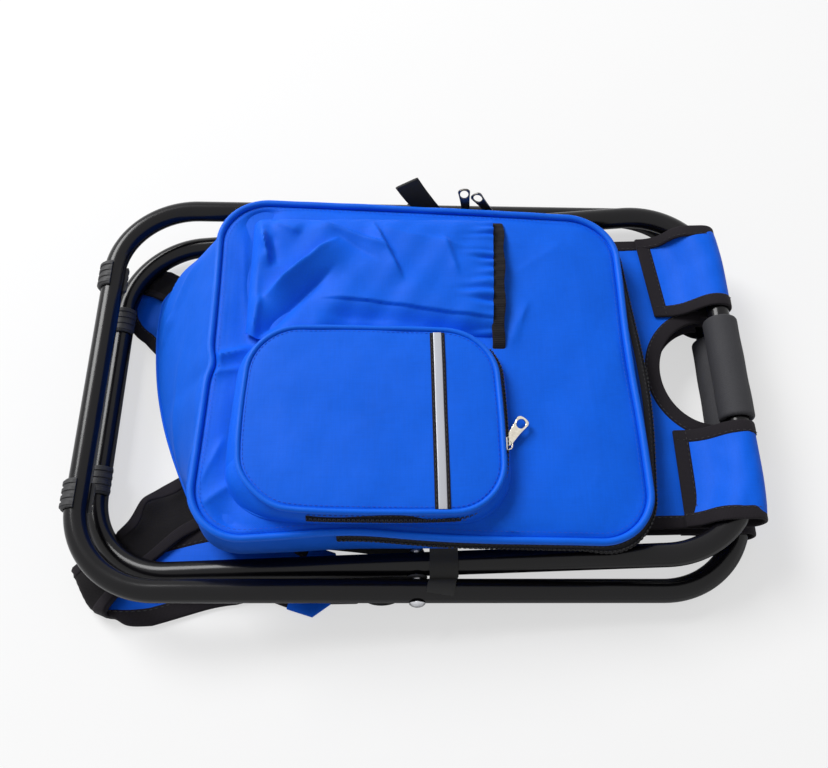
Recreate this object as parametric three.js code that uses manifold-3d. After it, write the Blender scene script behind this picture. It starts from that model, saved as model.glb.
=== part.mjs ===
// Folding cooler stool, folded flat and lying on the floor. Millimetres, +Z up.
// X runs along the legs, with the seat bars at +X and the feet at -X; -Y is the near side.
import * as THREE from "three";
import { mergeVertices } from "three/addons/utils/BufferGeometryUtils.js";
import Module from "manifold-3d";

const wasm = await Module();
wasm.setup();

// Clearances shared by the whole stool
const FIT = 0.3;
const OVERRUN = 6;

// Tube loops: a wide one and a narrow one that nests in it
const TUBE_D = 16;
const TUBE_WALL = 1.2;
const FOOT_REACH = 233;
const SEAT_REACH = 226;
const WIDE_LOOP_WIDTH = 308;
const NEST_GAP = 2;
const CORNER_R = 60;
const REST_TILT = THREE.MathUtils.degToRad(4.15);
const OPEN_TILT = THREE.MathUtils.degToRad(38);
const TUBE_SIDES = 16;
const BORE_SIDES = 10;
const CORNER_STEPS = 8;

// Pivot rivets
const RIVET_D = 6;
const RIVET_HEAD_D = 11;
const RIVET_HEAD_H = 2.6;
const RIVET_TAIL_D = 9;
const RIVET_TAIL_H = 2;
const WASHER_D = 14;
const ROUND_SIDES = 16;

// Ribbed foot clips
const CLIP_WALL = 1.9;
const CLIP_RIB = 0.8;
const CLIP_LENGTH = 24;
const CLIP_RIBS = 4;
const CLIP_MOUTH = THREE.MathUtils.degToRad(84);
const CLIP_PAD_CUT = 0.5;
const WIDE_CLIP_Y = 89;
const NARROW_CLIP_Y = 67;
const CLIP_STEPS = 7;

// Foam grips on the seat bars
const GRIP_D = 23.2;
const GRIP_GAP = 7;
const GRIP_ROUND = 2.4;

// Seat: two fabric halves that hang on the seat bars by wrapped tabs
const SEAT_WIDTH = 232;
const SEAT_T = 2.4;
const SEAT_START = 12;
const SEAT_SAG = THREE.MathUtils.degToRad(10);
const SEAT_FOLD_ROOM = 30;
const HAND_HOLE_DEPTH = 47;
const HAND_HOLE_WIDTH = 84;
const TAB_WIDTH = 69;
const TAB_T = 1.8;
const TAB_SLACK_UNDER = 0.5;
const TAB_SLACK_OVER = 1.5;
const TAB_CREST = 5;
const TAB_LANDING = 34;
const TAB_END = 52;
const TAB_ARC_STEPS = 12;

// Cooler bag: tapered body, deep at the bottom (-X) and thin at the top (+X)
const BAG_LENGTH = 300;
const BAG_LEFT = 150;
const BAG_TUBE_GAP = 4.5;
const BAG_BASE_TAPER = 2.5;
const BAG_FOOT_GAP = 16;
const BAG_BASE_SKEW = 20;
const BAG_BASE_RIGHT = 147;
const BAG_DEPTH_LEFT = 61;
const BAG_DEPTH_RIGHT = 19.5;
const BAG_BASE_RISE = 2.6;
const BAG_CORNER_R = 30;
const BAG_SKIN = 2;
const LINER_T = 3.5;
const LINER_RIM_SHARE = 0.88;
const BAG_CORNER_STEPS = 5;

// Bag lid, its piping and the main zip
const LID_T = 3.5;
const PIPING_D = 4;
const PIPING_SIDES = 6;
const ZIP_TAPE_W = 12;
const ZIP_TAPE_T = 1.2;
const ZIP_TAPE_DROP = 2;
const ZIP_START = 100;

// Zip pocket on the lid
const POCKET_LENGTH = 170;
const POCKET_WIDTH = 127;
const POCKET_FROM_HINGE = 38;
const POCKET_CENTRE_Y = -55.5;
const POCKET_R = 32;
const POCKET_WALL_H = 14;
const POCKET_WALL_T = 2;
const POCKET_FLAP_T = 3;
const POCKET_PIPING_D = 3.2;
const POCKET_TAPE_W = 7;
const POCKET_TAPE_T = 1;
const POCKET_TAPE_START = 43;
const STRIP_W = 10;
const STRIP_T = 0.8;
const STRIP_FROM_HINGE = 165.5;
const STRIP_MARGIN = 3;

// Elastic-topped bottle pocket on the lid
const POUCH_FROM_HINGE = 31;
const POUCH_LENGTH = 181;
const POUCH_WIDTH = 101;
const POUCH_MOUTH_H = 15;
const POUCH_END_H = 6;
const POUCH_WALL = 2;
const POUCH_STEPS = 12;
const BAND_W = 9;
const BAND_T = 2.6;

// Zip sliders and pulls
const SLIDER_L = 10;
const SLIDER_W = 8;
const SLIDER_T = 2.6;
const LUG_T = 1.4;
const LUG_STAND = 3;
const PIN_D = 1.8;
const EYE_WALL = 0.9;
const PULL_L = 24;
const PULL_W = 6;
const PULL_T = 1.4;
const PULL_HOLE_D = 3.4;
const MAIN_SLIDER_X = 44;
const MAIN_SLIDER_SPACING = 20;
const POCKET_SLIDER_Y = -70;
const MAIN_PULL_LEAN = THREE.MathUtils.degToRad(22);
const POCKET_PULL_LEAN = THREE.MathUtils.degToRad(27);

// Webbing ties that hold the bag to the narrow loop
const TIE_WIDTH = 19;
const TIE_T = 1.1;
const TIE_FROM_PIVOT = 18.5;
const TIE_TAIL_T = 2;

// Shoulder straps and their webbing, lying on the floor under the bag
const STRAP_WIDTH = 44;
const STRAP_T = 3;
const STRAP_EDGE = 1.2;
const STRAP_STEPS = 30;
const WEB_WIDTH = 20;
const WEB_T = 1.3;
const WEB_STEPS = 16;
const LOCK_L = 26;
const LOCK_W = 30;
const LOCK_T = 3;
const LOCK_SLOT = 3.6;
const LOCK_BAR = 3.5;
const LOCK_CORNER_R = 3;

// Sizes that follow from the ones above
const TUBE_R = TUBE_D / 2;
const BORE_R = TUBE_R - TUBE_WALL;
const GRIP_R = GRIP_D / 2;
const CLIP_R = TUBE_R + FIT + CLIP_WALL;
const CLIP_RIB_R = CLIP_R + CLIP_RIB;
const WIDE_HALF = WIDE_LOOP_WIDTH / 2;
const NARROW_HALF = WIDE_HALF - TUBE_D - NEST_GAP;
const GRIP_LENGTH = SEAT_WIDTH - 2 * (TAB_WIDTH + GRIP_GAP);
const BAG_WIDTH = 2 * (NARROW_HALF - TUBE_R - BAG_TUBE_GAP);
const BAG_BASE_WIDTH = BAG_WIDTH - 2 * BAG_BASE_TAPER;
const BAG_BASE_LEFT = FOOT_REACH - CLIP_RIB_R - BAG_FOOT_GAP - BAG_BASE_SKEW;
const PIVOT_Z = Math.max(
  SEAT_REACH * Math.sin(REST_TILT) + GRIP_R,
  FOOT_REACH * Math.sin(REST_TILT) + CLIP_RIB_R,
);
const PIVOT_X =
  ((FOOT_REACH - SEAT_REACH) * Math.cos(REST_TILT) + CLIP_RIB_R - GRIP_R) / 2;

const palette = {
  blackSteel: { color: 0x232328, roughness: 0.32, metalness: 0.6 },
  steel: { color: 0xb9bbc0, roughness: 0.3, metalness: 0.9 },
  blackPlastic: { color: 0x1d1d20, roughness: 0.55, metalness: 0 },
  foam: { color: 0x414145, roughness: 0.9, metalness: 0 },
  blueFabric: { color: 0x1867e4, roughness: 0.85, metalness: 0 },
  bluePiping: { color: 0x2a6ade, roughness: 0.6, metalness: 0 },
  blackWebbing: { color: 0x242225, roughness: 0.9, metalness: 0 },
  foil: { color: 0xc4c8cc, roughness: 0.35, metalness: 0.8 },
  reflective: { color: 0xb8bcc4, roughness: 0.4, metalness: 0.3 },
};
const materials = Object.fromEntries(
  Object.entries(palette).map(([name, look]) => [name, new THREE.MeshStandardMaterial(look)]),
);

// Solid helpers

// A closed geometry as a solid for cutting and joining.
function solidOf(geometry) {
  const bare = new THREE.BufferGeometry();
  bare.setAttribute("position", geometry.getAttribute("position"));
  if (geometry.index) bare.setIndex(geometry.index);
  const merged = mergeVertices(bare);
  const make = (triVerts) =>
    new wasm.Manifold(
      new wasm.Mesh({
        numProp: 3,
        vertProperties: new Float32Array(merged.attributes.position.array),
        triVerts,
      }),
    );
  const faces = new Uint32Array(merged.index.array);
  const made = make(faces);
  return made.volume() < 0 ? make(faces.reverse()) : made;
}

// A solid back as a geometry.
function geometryOf(solid) {
  const mesh = solid.getMesh();
  const geometry = new THREE.BufferGeometry();
  const position = new THREE.BufferAttribute(new Float32Array(mesh.vertProperties), 3);
  geometry.setAttribute("position", position);
  geometry.setIndex(new THREE.BufferAttribute(new Uint32Array(mesh.triVerts), 1));
  geometry.computeVertexNormals();
  return geometry;
}

function piece(name, solid, material, place = {}) {
  const mesh = new THREE.Mesh(geometryOf(solid), materials[material]);
  mesh.name = name;
  mesh.position.set(place.x ?? 0, place.y ?? 0, place.z ?? 0);
  mesh.rotation.set(place.turnX ?? 0, place.turnY ?? 0, place.turnZ ?? 0);
  return mesh;
}

function group(place, ...children) {
  const made = new THREE.Group();
  made.position.set(place.x ?? 0, place.y ?? 0, place.z ?? 0);
  made.rotation.set(place.turnX ?? 0, place.turnY ?? 0, place.turnZ ?? 0);
  made.add(...children);
  return made;
}

// Skins a row of rings that all have as many points; the ends are fans about their centres.
function loft(rings, closed = false) {
  const size = rings[0].length;
  const position = rings.flatMap((ring) => ring.flatMap((p) => [p.x, p.y, p.z]));
  const index = [];
  const spans = closed ? rings.length : rings.length - 1;
  for (let i = 0; i < spans; i++) {
    const a = i * size;
    const b = ((i + 1) % rings.length) * size;
    for (let j = 0; j < size; j++) {
      const k = (j + 1) % size;
      index.push(a + j, b + j, b + k, a + j, b + k, a + k);
    }
  }
  const cap = (ring, first, flip) => {
    const centre = new THREE.Vector3();
    ring.forEach((p) => centre.addScaledVector(p, 1 / size));
    const hub = position.push(centre.x, centre.y, centre.z) / 3 - 1;
    for (let j = 0; j < size; j++) {
      const k = (j + 1) % size;
      index.push(hub, first + (flip ? k : j), first + (flip ? j : k));
    }
  };
  if (!closed) {
    cap(rings[0], 0, false);
    cap(rings.at(-1), (rings.length - 1) * size, true);
  }
  const geometry = new THREE.BufferGeometry();
  geometry.setAttribute("position", new THREE.Float32BufferAttribute(position, 3));
  geometry.setIndex(index);
  return solidOf(geometry);
}

// Extrudes a shape drawn in X and Z along Y, centred on y = 0.
function extrudeAcross(shape, width, curveSegments = CLIP_STEPS) {
  const geometry = new THREE.ExtrudeGeometry(shape, {
    depth: width,
    bevelEnabled: false,
    curveSegments,
  });
  return solidOf(geometry.rotateX(Math.PI / 2).translate(0, width / 2, 0));
}

// Extrudes a shape drawn in X and Y upwards from z = 0.
function extrudeUp(shape, height, curveSegments = CLIP_STEPS) {
  return solidOf(
    new THREE.ExtrudeGeometry(shape, { depth: height, bevelEnabled: false, curveSegments }),
  );
}

// A round solid about the Y axis from [radius, y] points.
function lathe(points, sides = ROUND_SIDES) {
  return solidOf(
    new THREE.LatheGeometry(points.map(([r, y]) => new THREE.Vector2(r, y)), sides),
  );
}

function box(sizeX, sizeY, sizeZ) {
  return solidOf(new THREE.BoxGeometry(sizeX, sizeY, sizeZ));
}

function cylinder(radius, length) {
  return solidOf(new THREE.CylinderGeometry(radius, radius, length, ROUND_SIDES));
}

function moved(solid, x, y, z) {
  return solid.translate([x, y, z]);
}

// Points of a rounded rectangle, counted alike for every size, counter-clockwise from +X, -Y.
function roundedOutline(left, right, half, radius, steps = BAG_CORNER_STEPS) {
  const corners = [
    [right - radius, radius - half, -Math.PI / 2],
    [right - radius, half - radius, 0],
    [left + radius, half - radius, Math.PI / 2],
    [left + radius, radius - half, Math.PI],
  ];
  return corners.flatMap(([cx, cy, start]) =>
    Array.from({ length: steps + 1 }, (_, i) => {
      const a = start + ((Math.PI / 2) * i) / steps;
      return new THREE.Vector2(cx + radius * Math.cos(a), cy + radius * Math.sin(a));
    }),
  );
}

// A flat band of one thickness that follows a line of points in X and Z.
function bandShape(line, thickness) {
  const side = (sign) =>
    line.map((p, i) => {
      const before = line[Math.max(i - 1, 0)];
      const after = line[Math.min(i + 1, line.length - 1)];
      const along = after.clone().sub(before).normalize();
      const offset = (sign * thickness) / 2;
      return new THREE.Vector2(p.x - along.y * offset, p.y + along.x * offset);
    });
  return new THREE.Shape([...side(1), ...side(-1).reverse()]);
}

// Sweeps a section, points across (x) and up (y), along a line of points that lies about level.
function sweepLevel(points, section) {
  const up = new THREE.Vector3(0, 0, 1);
  const rings = points.map((p, i) => {
    const before = points[Math.max(i - 1, 0)];
    const after = points[Math.min(i + 1, points.length - 1)];
    const along = after.clone().sub(before).normalize();
    const across = along.clone().cross(up).normalize();
    const lift = across.clone().cross(along).normalize();
    return section.map((s) => p.clone().addScaledVector(across, s.x).addScaledVector(lift, s.y));
  });
  return loft(rings);
}

function curvePoints(points, steps) {
  return new THREE.CatmullRomCurve3(points, false, "centripetal").getSpacedPoints(steps);
}

// Frame loops

// Stations round a loop in its own plane: a centre and the direction out of the bend.
function loopStations(half) {
  const front = SEAT_REACH - CORNER_R;
  const back = CORNER_R - FOOT_REACH;
  const side = half - CORNER_R;
  const corners = [
    [front, -side, -Math.PI / 2],
    [front, side, 0],
    [back, side, Math.PI / 2],
    [back, -side, Math.PI],
  ];
  return corners.flatMap(([cx, cy, start]) =>
    Array.from({ length: CORNER_STEPS + 1 }, (_, i) => {
      const a = start + ((Math.PI / 2) * i) / CORNER_STEPS;
      const out = new THREE.Vector3(Math.cos(a), Math.sin(a), 0);
      return { out, centre: new THREE.Vector3(cx, cy, 0).addScaledVector(out, CORNER_R) };
    }),
  );
}

function loopRod(half, radius, sides) {
  const up = new THREE.Vector3(0, 0, 1);
  const rings = loopStations(half).map(({ out, centre }) =>
    Array.from({ length: sides }, (_, i) => {
      const a = (2 * Math.PI * i) / sides;
      return centre
        .clone()
        .addScaledVector(out, radius * Math.cos(a))
        .addScaledVector(up, radius * Math.sin(a));
    }),
  );
  return loft(rings, true);
}

// A bent steel tube with its bore, and a rivet hole through both side tubes.
function loopTube(half) {
  const bore = loopRod(half, BORE_R, BORE_SIDES);
  const holes = cylinder(RIVET_D / 2 + FIT, 2 * (half + TUBE_D));
  return loopRod(half, TUBE_R, TUBE_SIDES).subtract(bore).subtract(holes);
}

function rivet() {
  const inner = NARROW_HALF - TUBE_R - FIT;
  const outer = WIDE_HALF + TUBE_R + FIT;
  const shank = RIVET_D / 2;
  return lathe([
    [0, inner - RIVET_TAIL_H],
    [RIVET_TAIL_D / 4, inner - RIVET_TAIL_H],
    [RIVET_TAIL_D / 2, inner - RIVET_TAIL_H / 2],
    [RIVET_TAIL_D / 2, inner],
    [shank, inner],
    [shank, outer],
    [RIVET_HEAD_D / 2, outer],
    [RIVET_HEAD_D / 2, outer + RIVET_HEAD_H / 4],
    [RIVET_HEAD_D / 3, outer + (RIVET_HEAD_H * 3) / 4],
    [0, outer + RIVET_HEAD_H],
  ]);
}

function washer() {
  const bore = RIVET_D / 2 + FIT;
  const inner = NARROW_HALF + TUBE_R + FIT;
  const outer = WIDE_HALF - TUBE_R - FIT;
  return lathe([
    [bore, inner],
    [WASHER_D / 2, inner],
    [WASHER_D / 2, outer],
    [bore, outer],
    [bore, inner],
  ]);
}

// Feet and grips

function clipArc(radius, facing) {
  const start = facing - Math.PI + CLIP_MOUTH / 2;
  const end = facing + Math.PI - CLIP_MOUTH / 2;
  const inner = TUBE_R + FIT;
  const shape = new THREE.Shape();
  shape.absarc(0, 0, radius, start, end, false);
  shape.absarc(0, 0, inner, end, start, true);
  shape.closePath();
  return shape;
}

// A snap-on foot: a C round the bar, ribs outside, and a pad cut flat where it stands.
function footClip(half, centreY, facing) {
  const pitch = CLIP_LENGTH / CLIP_RIBS;
  const rib = extrudeAcross(clipArc(CLIP_RIB_R, facing), pitch / 2);
  let clip = extrudeAcross(clipArc(CLIP_R, facing), CLIP_LENGTH - pitch / 2);
  for (let i = 0; i < CLIP_RIBS; i++) {
    clip = clip.add(moved(rib, 0, (i - (CLIP_RIBS - 1) / 2) * pitch, 0));
  }
  const pad = CLIP_RIB_R - CLIP_PAD_CUT;
  const cutter = moved(box(OVERRUN, CLIP_LENGTH + OVERRUN, CLIP_RIB_R * 2), pad + OVERRUN / 2, 0, 0)
    .rotate([0, THREE.MathUtils.radToDeg(-facing), 0]);
  const tube = moved(loopRod(half, TUBE_R + FIT, TUBE_SIDES), FOOT_REACH, -centreY, 0);
  return clip.subtract(cutter).subtract(tube);
}

function footClips(name, half, centreY, facing) {
  return [-1, 1].map((side) =>
    piece(
      `${name}_foot_clip_${side < 0 ? "near" : "far"}`,
      footClip(half, side * centreY, facing),
      "blackPlastic",
      { x: -FOOT_REACH, y: side * centreY },
    ),
  );
}

function foamGrip() {
  const bore = TUBE_R + FIT;
  const end = GRIP_LENGTH / 2;
  return lathe([
    [bore, -end],
    [GRIP_R - GRIP_ROUND, -end],
    [GRIP_R, GRIP_ROUND - end],
    [GRIP_R, end - GRIP_ROUND],
    [GRIP_R - GRIP_ROUND, end],
    [bore, end],
    [bore, -end],
  ]);
}

// Seat half: x runs from the bar towards the fold, z towards the underside

const SEAT_FACE = -(TUBE_R + TAB_SLACK_UNDER + TAB_T);
const SEAT_UNDER = SEAT_FACE + SEAT_T;
const SEAT_END =
  (SEAT_REACH * Math.sin(OPEN_TILT)) / Math.cos(SEAT_SAG) - SEAT_FOLD_ROOM;

// The bent tube as the seat half sees it while it swings, with room round it.
function sweptBar(half) {
  const rod = moved(loopRod(half, TUBE_R + FIT, TUBE_SIDES), -SEAT_REACH, 0, 0);
  const swing = [0, 1, 2].map((i) => {
    const open = ((OPEN_TILT - REST_TILT) * i) / 2;
    const seat = ((Math.PI / 2 - SEAT_SAG) * i) / 2;
    return THREE.MathUtils.radToDeg(seat - REST_TILT - open);
  });
  return swing.map((angle) => rod.rotate([0, 180, 0]).rotate([0, -angle, 0]));
}

function seatPanel(half) {
  const w = SEAT_WIDTH / 2;
  const shape = new THREE.Shape();
  shape.moveTo(SEAT_START, -w);
  shape.lineTo(SEAT_END, -w);
  shape.lineTo(SEAT_END, w);
  shape.lineTo(SEAT_START, w);
  shape.lineTo(SEAT_START, HAND_HOLE_WIDTH / 2);
  const depth = HAND_HOLE_DEPTH - SEAT_START;
  shape.absellipse(SEAT_START, 0, depth, HAND_HOLE_WIDTH / 2, Math.PI / 2, -Math.PI / 2, true);
  shape.lineTo(SEAT_START, -w);
  const panel = moved(extrudeUp(shape, SEAT_T), 0, 0, SEAT_FACE);
  return sweptBar(half).reduce((left, bar) => left.subtract(bar), panel);
}

// The tab's line: under the bar, round it, over the top and down onto the underside.
function tabLine() {
  const under = SEAT_FACE + TAB_T / 2;
  const over = TUBE_R + TAB_SLACK_OVER + TAB_T / 2;
  const centre = (over + under) / 2;
  const radius = (over - under) / 2;
  const line = [new THREE.Vector2(SEAT_START - FIT, under)];
  for (let i = 0; i <= TAB_ARC_STEPS; i++) {
    const a = -Math.PI / 2 - (Math.PI * i) / TAB_ARC_STEPS;
    line.push(new THREE.Vector2(radius * Math.cos(a), centre + radius * Math.sin(a)));
  }
  line.push(new THREE.Vector2(TAB_CREST, over));
  const landed = SEAT_UNDER + FIT + TAB_T / 2;
  line.push(new THREE.Vector2(TAB_LANDING, landed), new THREE.Vector2(TAB_END, landed));
  return line;
}

// How far along the bar the loop can go before the bend of the tube fills its slack.
function tabReach(half) {
  const bend = TAB_SLACK_OVER + FIT;
  return half - CORNER_R + Math.sqrt(bend * (2 * CORNER_R - bend));
}

function seatTab(half, side) {
  const outer = SEAT_WIDTH / 2;
  const inner = outer - TAB_WIDTH;
  const wrap = Math.min(outer, tabReach(half)) - inner;
  const line = tabLine();
  const loop = extrudeAcross(bandShape(line, TAB_T), wrap);
  const tail = extrudeAcross(bandShape(line.slice(-2), TAB_T), TAB_WIDTH);
  const wrapped = moved(loop, 0, side * (inner + wrap / 2), 0);
  return wrapped.add(moved(tail, 0, side * (inner + TAB_WIDTH / 2), 0));
}

// A seat half under its bar; the wide loop's half is the narrow loop's turned over.
function seatHalf(name, half, turnedOver) {
  const tabs = [-1, 1].map((side) => {
    const label = (turnedOver ? side : -side) < 0 ? "near" : "far";
    return piece(`${name}_seat_tab_${label}`, seatTab(half, side), "blueFabric");
  });
  const panel = piece(`${name}_seat_panel`, seatPanel(half), "blueFabric");
  // Turning about Z points the half back along -X; the half lies level while the loop tilts.
  const hung = group({ turnZ: Math.PI }, panel, ...tabs);
  const level = group({ turnX: turnedOver ? Math.PI : 0 }, hung);
  return group({ x: SEAT_REACH, turnY: turnedOver ? -REST_TILT : REST_TILT }, level);
}

// Bag, in the narrow loop's own frame

const BAG_RIGHT = BAG_LENGTH - BAG_LEFT;
const LID_TILT = Math.atan((BAG_DEPTH_LEFT - BAG_DEPTH_RIGHT) / BAG_LENGTH);
const LID_SLOPE_LENGTH = BAG_LENGTH / Math.cos(LID_TILT);
const LEVEL_AT = (x) => x * Math.tan(REST_TILT);
// The base rests on the folded straps at its bottom end and on the seat half at its top end.
const BASE_LEFT_Z =
  -PIVOT_Z + STRAP_T + FIT + LEVEL_AT(BAG_BASE_LEFT + BAG_BASE_SKEW) + (LOCK_T - STRAP_T);
const BASE_RIGHT_Z = BAG_BASE_RISE;

function baseHeight(x) {
  const reach = BAG_BASE_LEFT + BAG_BASE_SKEW;
  const share = (x + reach) / (reach + BAG_BASE_RIGHT);
  return BASE_LEFT_Z + (BASE_RIGHT_Z - BASE_LEFT_Z) * share;
}

function rimHeight(x) {
  return BAG_DEPTH_LEFT - (x + BAG_LEFT) * Math.tan(LID_TILT) - FIT;
}

// One ring of the body at a share of its height, drawn in by inset and lifted by lift. The base's
// bottom end runs askew, further out on the far side.
function bagRing(share, inset, lift = 0) {
  const level = share + lift / (rimHeight(-BAG_LEFT) - baseHeight(-BAG_BASE_LEFT));
  const mix = (base, rim) => base + (rim - base) * level;
  const swell = Math.sin(Math.PI * share) * BAG_SKIN;
  const outline = roundedOutline(
    -mix(BAG_BASE_LEFT, BAG_LEFT - PIPING_D) - swell + inset,
    mix(BAG_BASE_RIGHT, BAG_RIGHT - PIPING_D) - inset,
    mix(BAG_BASE_WIDTH, BAG_WIDTH) / 2 - inset,
    BAG_CORNER_R - inset,
  );
  const turn = mix(BAG_BASE_SKEW, 0) / (BAG_BASE_RIGHT + BAG_BASE_LEFT) / (BAG_BASE_WIDTH / 2);
  return outline.map((p) => {
    const x = p.x - (BAG_BASE_RIGHT - p.x) * p.y * turn;
    const base = baseHeight(x);
    return new THREE.Vector3(x, p.y, base + (rimHeight(x) - base) * share + lift);
  });
}

const BAG_SHARES = [0, 0.2, 0.4, 0.6, 0.8, 1].map((share) => share * LINER_RIM_SHARE);

// An open-topped body with walls, drawn in by inset, with a ring at each share of its height.
function bagTub(inset, wall, shares) {
  const ring = (share, by) => bagRing(share, by, by * (1 - share));
  const outer = shares.map((share) => ring(share, inset));
  const inner = shares.map((share) => ring(share, inset + wall));
  inner.push(bagRing(shares.at(-1), inset + wall, OVERRUN));
  return loft(outer).subtract(loft(inner));
}

// A strip along the rim of a rounded outline from a start line on the near side to the far one.
function rimStrip(left, right, half, radius, gap, thickness, from, bottom, top) {
  const grown = (by) => roundedOutline(left - by, right + by, half + by, radius + by);
  const run = (by) => {
    const corners = grown(by).slice(0, 2 * (BAG_CORNER_STEPS + 1));
    return [new THREE.Vector2(from, -half - by), ...corners, new THREE.Vector2(from, half + by)];
  };
  const near = run(gap);
  const far = run(gap + thickness);
  const rings = near.map((p, i) => {
    const q = far[i];
    return [
      new THREE.Vector3(p.x, p.y, bottom(p.x)),
      new THREE.Vector3(q.x, q.y, bottom(q.x)),
      new THREE.Vector3(q.x, q.y, top(q.x)),
      new THREE.Vector3(p.x, p.y, top(p.x)),
    ];
  });
  return loft(rings);
}

function mainZipTape() {
  const drop = (by) => (x) => rimHeight(x) - by;
  return rimStrip(
    PIPING_D - BAG_LEFT,
    BAG_RIGHT - PIPING_D,
    BAG_WIDTH / 2,
    BAG_CORNER_R,
    FIT + BAG_SKIN / 2,
    ZIP_TAPE_T,
    ZIP_START - BAG_LEFT,
    drop(ZIP_TAPE_DROP + ZIP_TAPE_W),
    drop(ZIP_TAPE_DROP),
  );
}

// A closed ring of cord round an outline at one height.
function cordRing(outline, height, diameter) {
  const count = outline.length;
  const rings = outline.map((p, i) => {
    const before = outline[(i + count - 1) % count];
    const after = outline[(i + 1) % count];
    const along = after.clone().sub(before).normalize();
    return Array.from({ length: PIPING_SIDES }, (_, j) => {
      const a = (2 * Math.PI * j) / PIPING_SIDES;
      const out = (Math.cos(a) * diameter) / 2;
      const up = (Math.sin(a) * diameter) / 2;
      return new THREE.Vector3(p.x + along.y * out, p.y - along.x * out, height + up);
    });
  });
  return loft(rings, true);
}

// Lid frame: x from the lid's hinge towards the top of the bag, z out of the lid

const LID_HALF = BAG_WIDTH / 2 + BAG_SKIN;
const LID_INSET = PIPING_D + FIT;

function lidPlate() {
  const outline = roundedOutline(
    LID_INSET,
    LID_SLOPE_LENGTH - LID_INSET,
    LID_HALF,
    BAG_CORNER_R,
  );
  return extrudeUp(new THREE.Shape(outline), LID_T);
}

function lidPiping() {
  const off = LID_INSET - FIT - PIPING_D / 2;
  const outline = roundedOutline(
    off,
    LID_SLOPE_LENGTH - off,
    LID_HALF + LID_INSET - off,
    BAG_CORNER_R + LID_INSET - off,
  );
  return cordRing(outline, LID_T / 2 + PIPING_D / 4, PIPING_D);
}

const POCKET_BASE = LID_T + FIT;
const POCKET_OVERHANG = POCKET_PIPING_D - POCKET_WALL_T / 2 - FIT;
const POCKET_EDGE_Y = POCKET_CENTRE_Y + POCKET_WIDTH / 2;
const POUCH_CENTRE_Y = POCKET_EDGE_Y + POCKET_OVERHANG + FIT + POUCH_WIDTH / 2;
const POCKET_TOP = POCKET_BASE + POCKET_WALL_H + FIT;

function pocketOutline(inset) {
  return roundedOutline(
    inset,
    POCKET_LENGTH - inset,
    POCKET_WIDTH / 2 - inset,
    POCKET_R - inset,
  );
}

function pocketWall() {
  const ring = new THREE.Shape(pocketOutline(0));
  ring.holes.push(new THREE.Path(pocketOutline(POCKET_WALL_T).reverse()));
  return extrudeUp(ring, POCKET_WALL_H);
}

function pocketFlap() {
  const inset = POCKET_PIPING_D - POCKET_WALL_T / 2;
  return extrudeUp(new THREE.Shape(pocketOutline(inset)), POCKET_FLAP_T);
}

function pocketPiping() {
  const inset = POCKET_PIPING_D - POCKET_WALL_T / 2 - FIT - POCKET_PIPING_D / 2;
  return cordRing(pocketOutline(inset), POCKET_PIPING_D / 2, POCKET_PIPING_D);
}

// Black tape with the pocket's zip: along the near wall, round the corner and up the right wall.
function pocketTape() {
  const level = (height) => () => height;
  const tape = rimStrip(
    0,
    POCKET_LENGTH,
    POCKET_WIDTH / 2,
    POCKET_R,
    FIT,
    POCKET_TAPE_T,
    POCKET_TAPE_START,
    level(POCKET_WALL_H / 2 - POCKET_TAPE_W / 2),
    level(POCKET_WALL_H / 2 + POCKET_TAPE_W / 2),
  );
  const room = POCKET_LENGTH + OVERRUN;
  const far = moved(box(room * 2, POCKET_WIDTH, room), 0, POCKET_WIDTH - POCKET_R, 0);
  return tape.subtract(far);
}

function reflectiveStrip() {
  const inset = POCKET_PIPING_D + STRIP_MARGIN;
  return box(STRIP_W, POCKET_WIDTH - 2 * inset, STRIP_T);
}

// The bottle pocket's arch over the lid at a share of its length
function pouchArch(x, height, inset, sink) {
  const half = POUCH_WIDTH / 2 - inset;
  const arch = Array.from({ length: POUCH_STEPS + 1 }, (_, i) => {
    const across = Math.cos((Math.PI * i) / POUCH_STEPS);
    return new THREE.Vector3(x, half * across, (height - inset) * (1 - across ** 4));
  });
  arch[0].z = -sink;
  arch[POUCH_STEPS].z = -sink;
  return arch;
}

const POUCH_SHARES = [0, 0.08, 0.3, 0.65, 1];

function pouch() {
  const heightAt = (share) =>
    POUCH_END_H + (POUCH_MOUTH_H - POUCH_END_H) * Math.sin((share * Math.PI) / 2);
  const outer = POUCH_SHARES.map((s) => pouchArch(s * POUCH_LENGTH, heightAt(s), 0, 0));
  const run = POUCH_LENGTH - POUCH_WALL;
  const inner = POUCH_SHARES.map((s) =>
    pouchArch(POUCH_WALL + s * run, heightAt(s), POUCH_WALL, OVERRUN),
  );
  inner.push(pouchArch(POUCH_LENGTH + OVERRUN, POUCH_MOUTH_H, POUCH_WALL, OVERRUN));
  return loft(outer).subtract(loft(inner));
}

function elasticBand() {
  const outer = [0, BAND_W].map((x) => pouchArch(x, POUCH_MOUTH_H, 0, 0));
  const inner = [-OVERRUN, BAND_W + OVERRUN].map((x) =>
    pouchArch(x, POUCH_MOUTH_H, BAND_T, OVERRUN),
  );
  return loft(outer).subtract(loft(inner));
}

// Sliders: a body on the zip with two lugs that hold a pin; z points away from the zip

const PIN_UP = SLIDER_T + LUG_STAND - PIN_D / 2;
const EYE_R = PIN_D / 2 + FIT;
const EYE_OUT_R = EYE_R + EYE_WALL;

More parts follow.
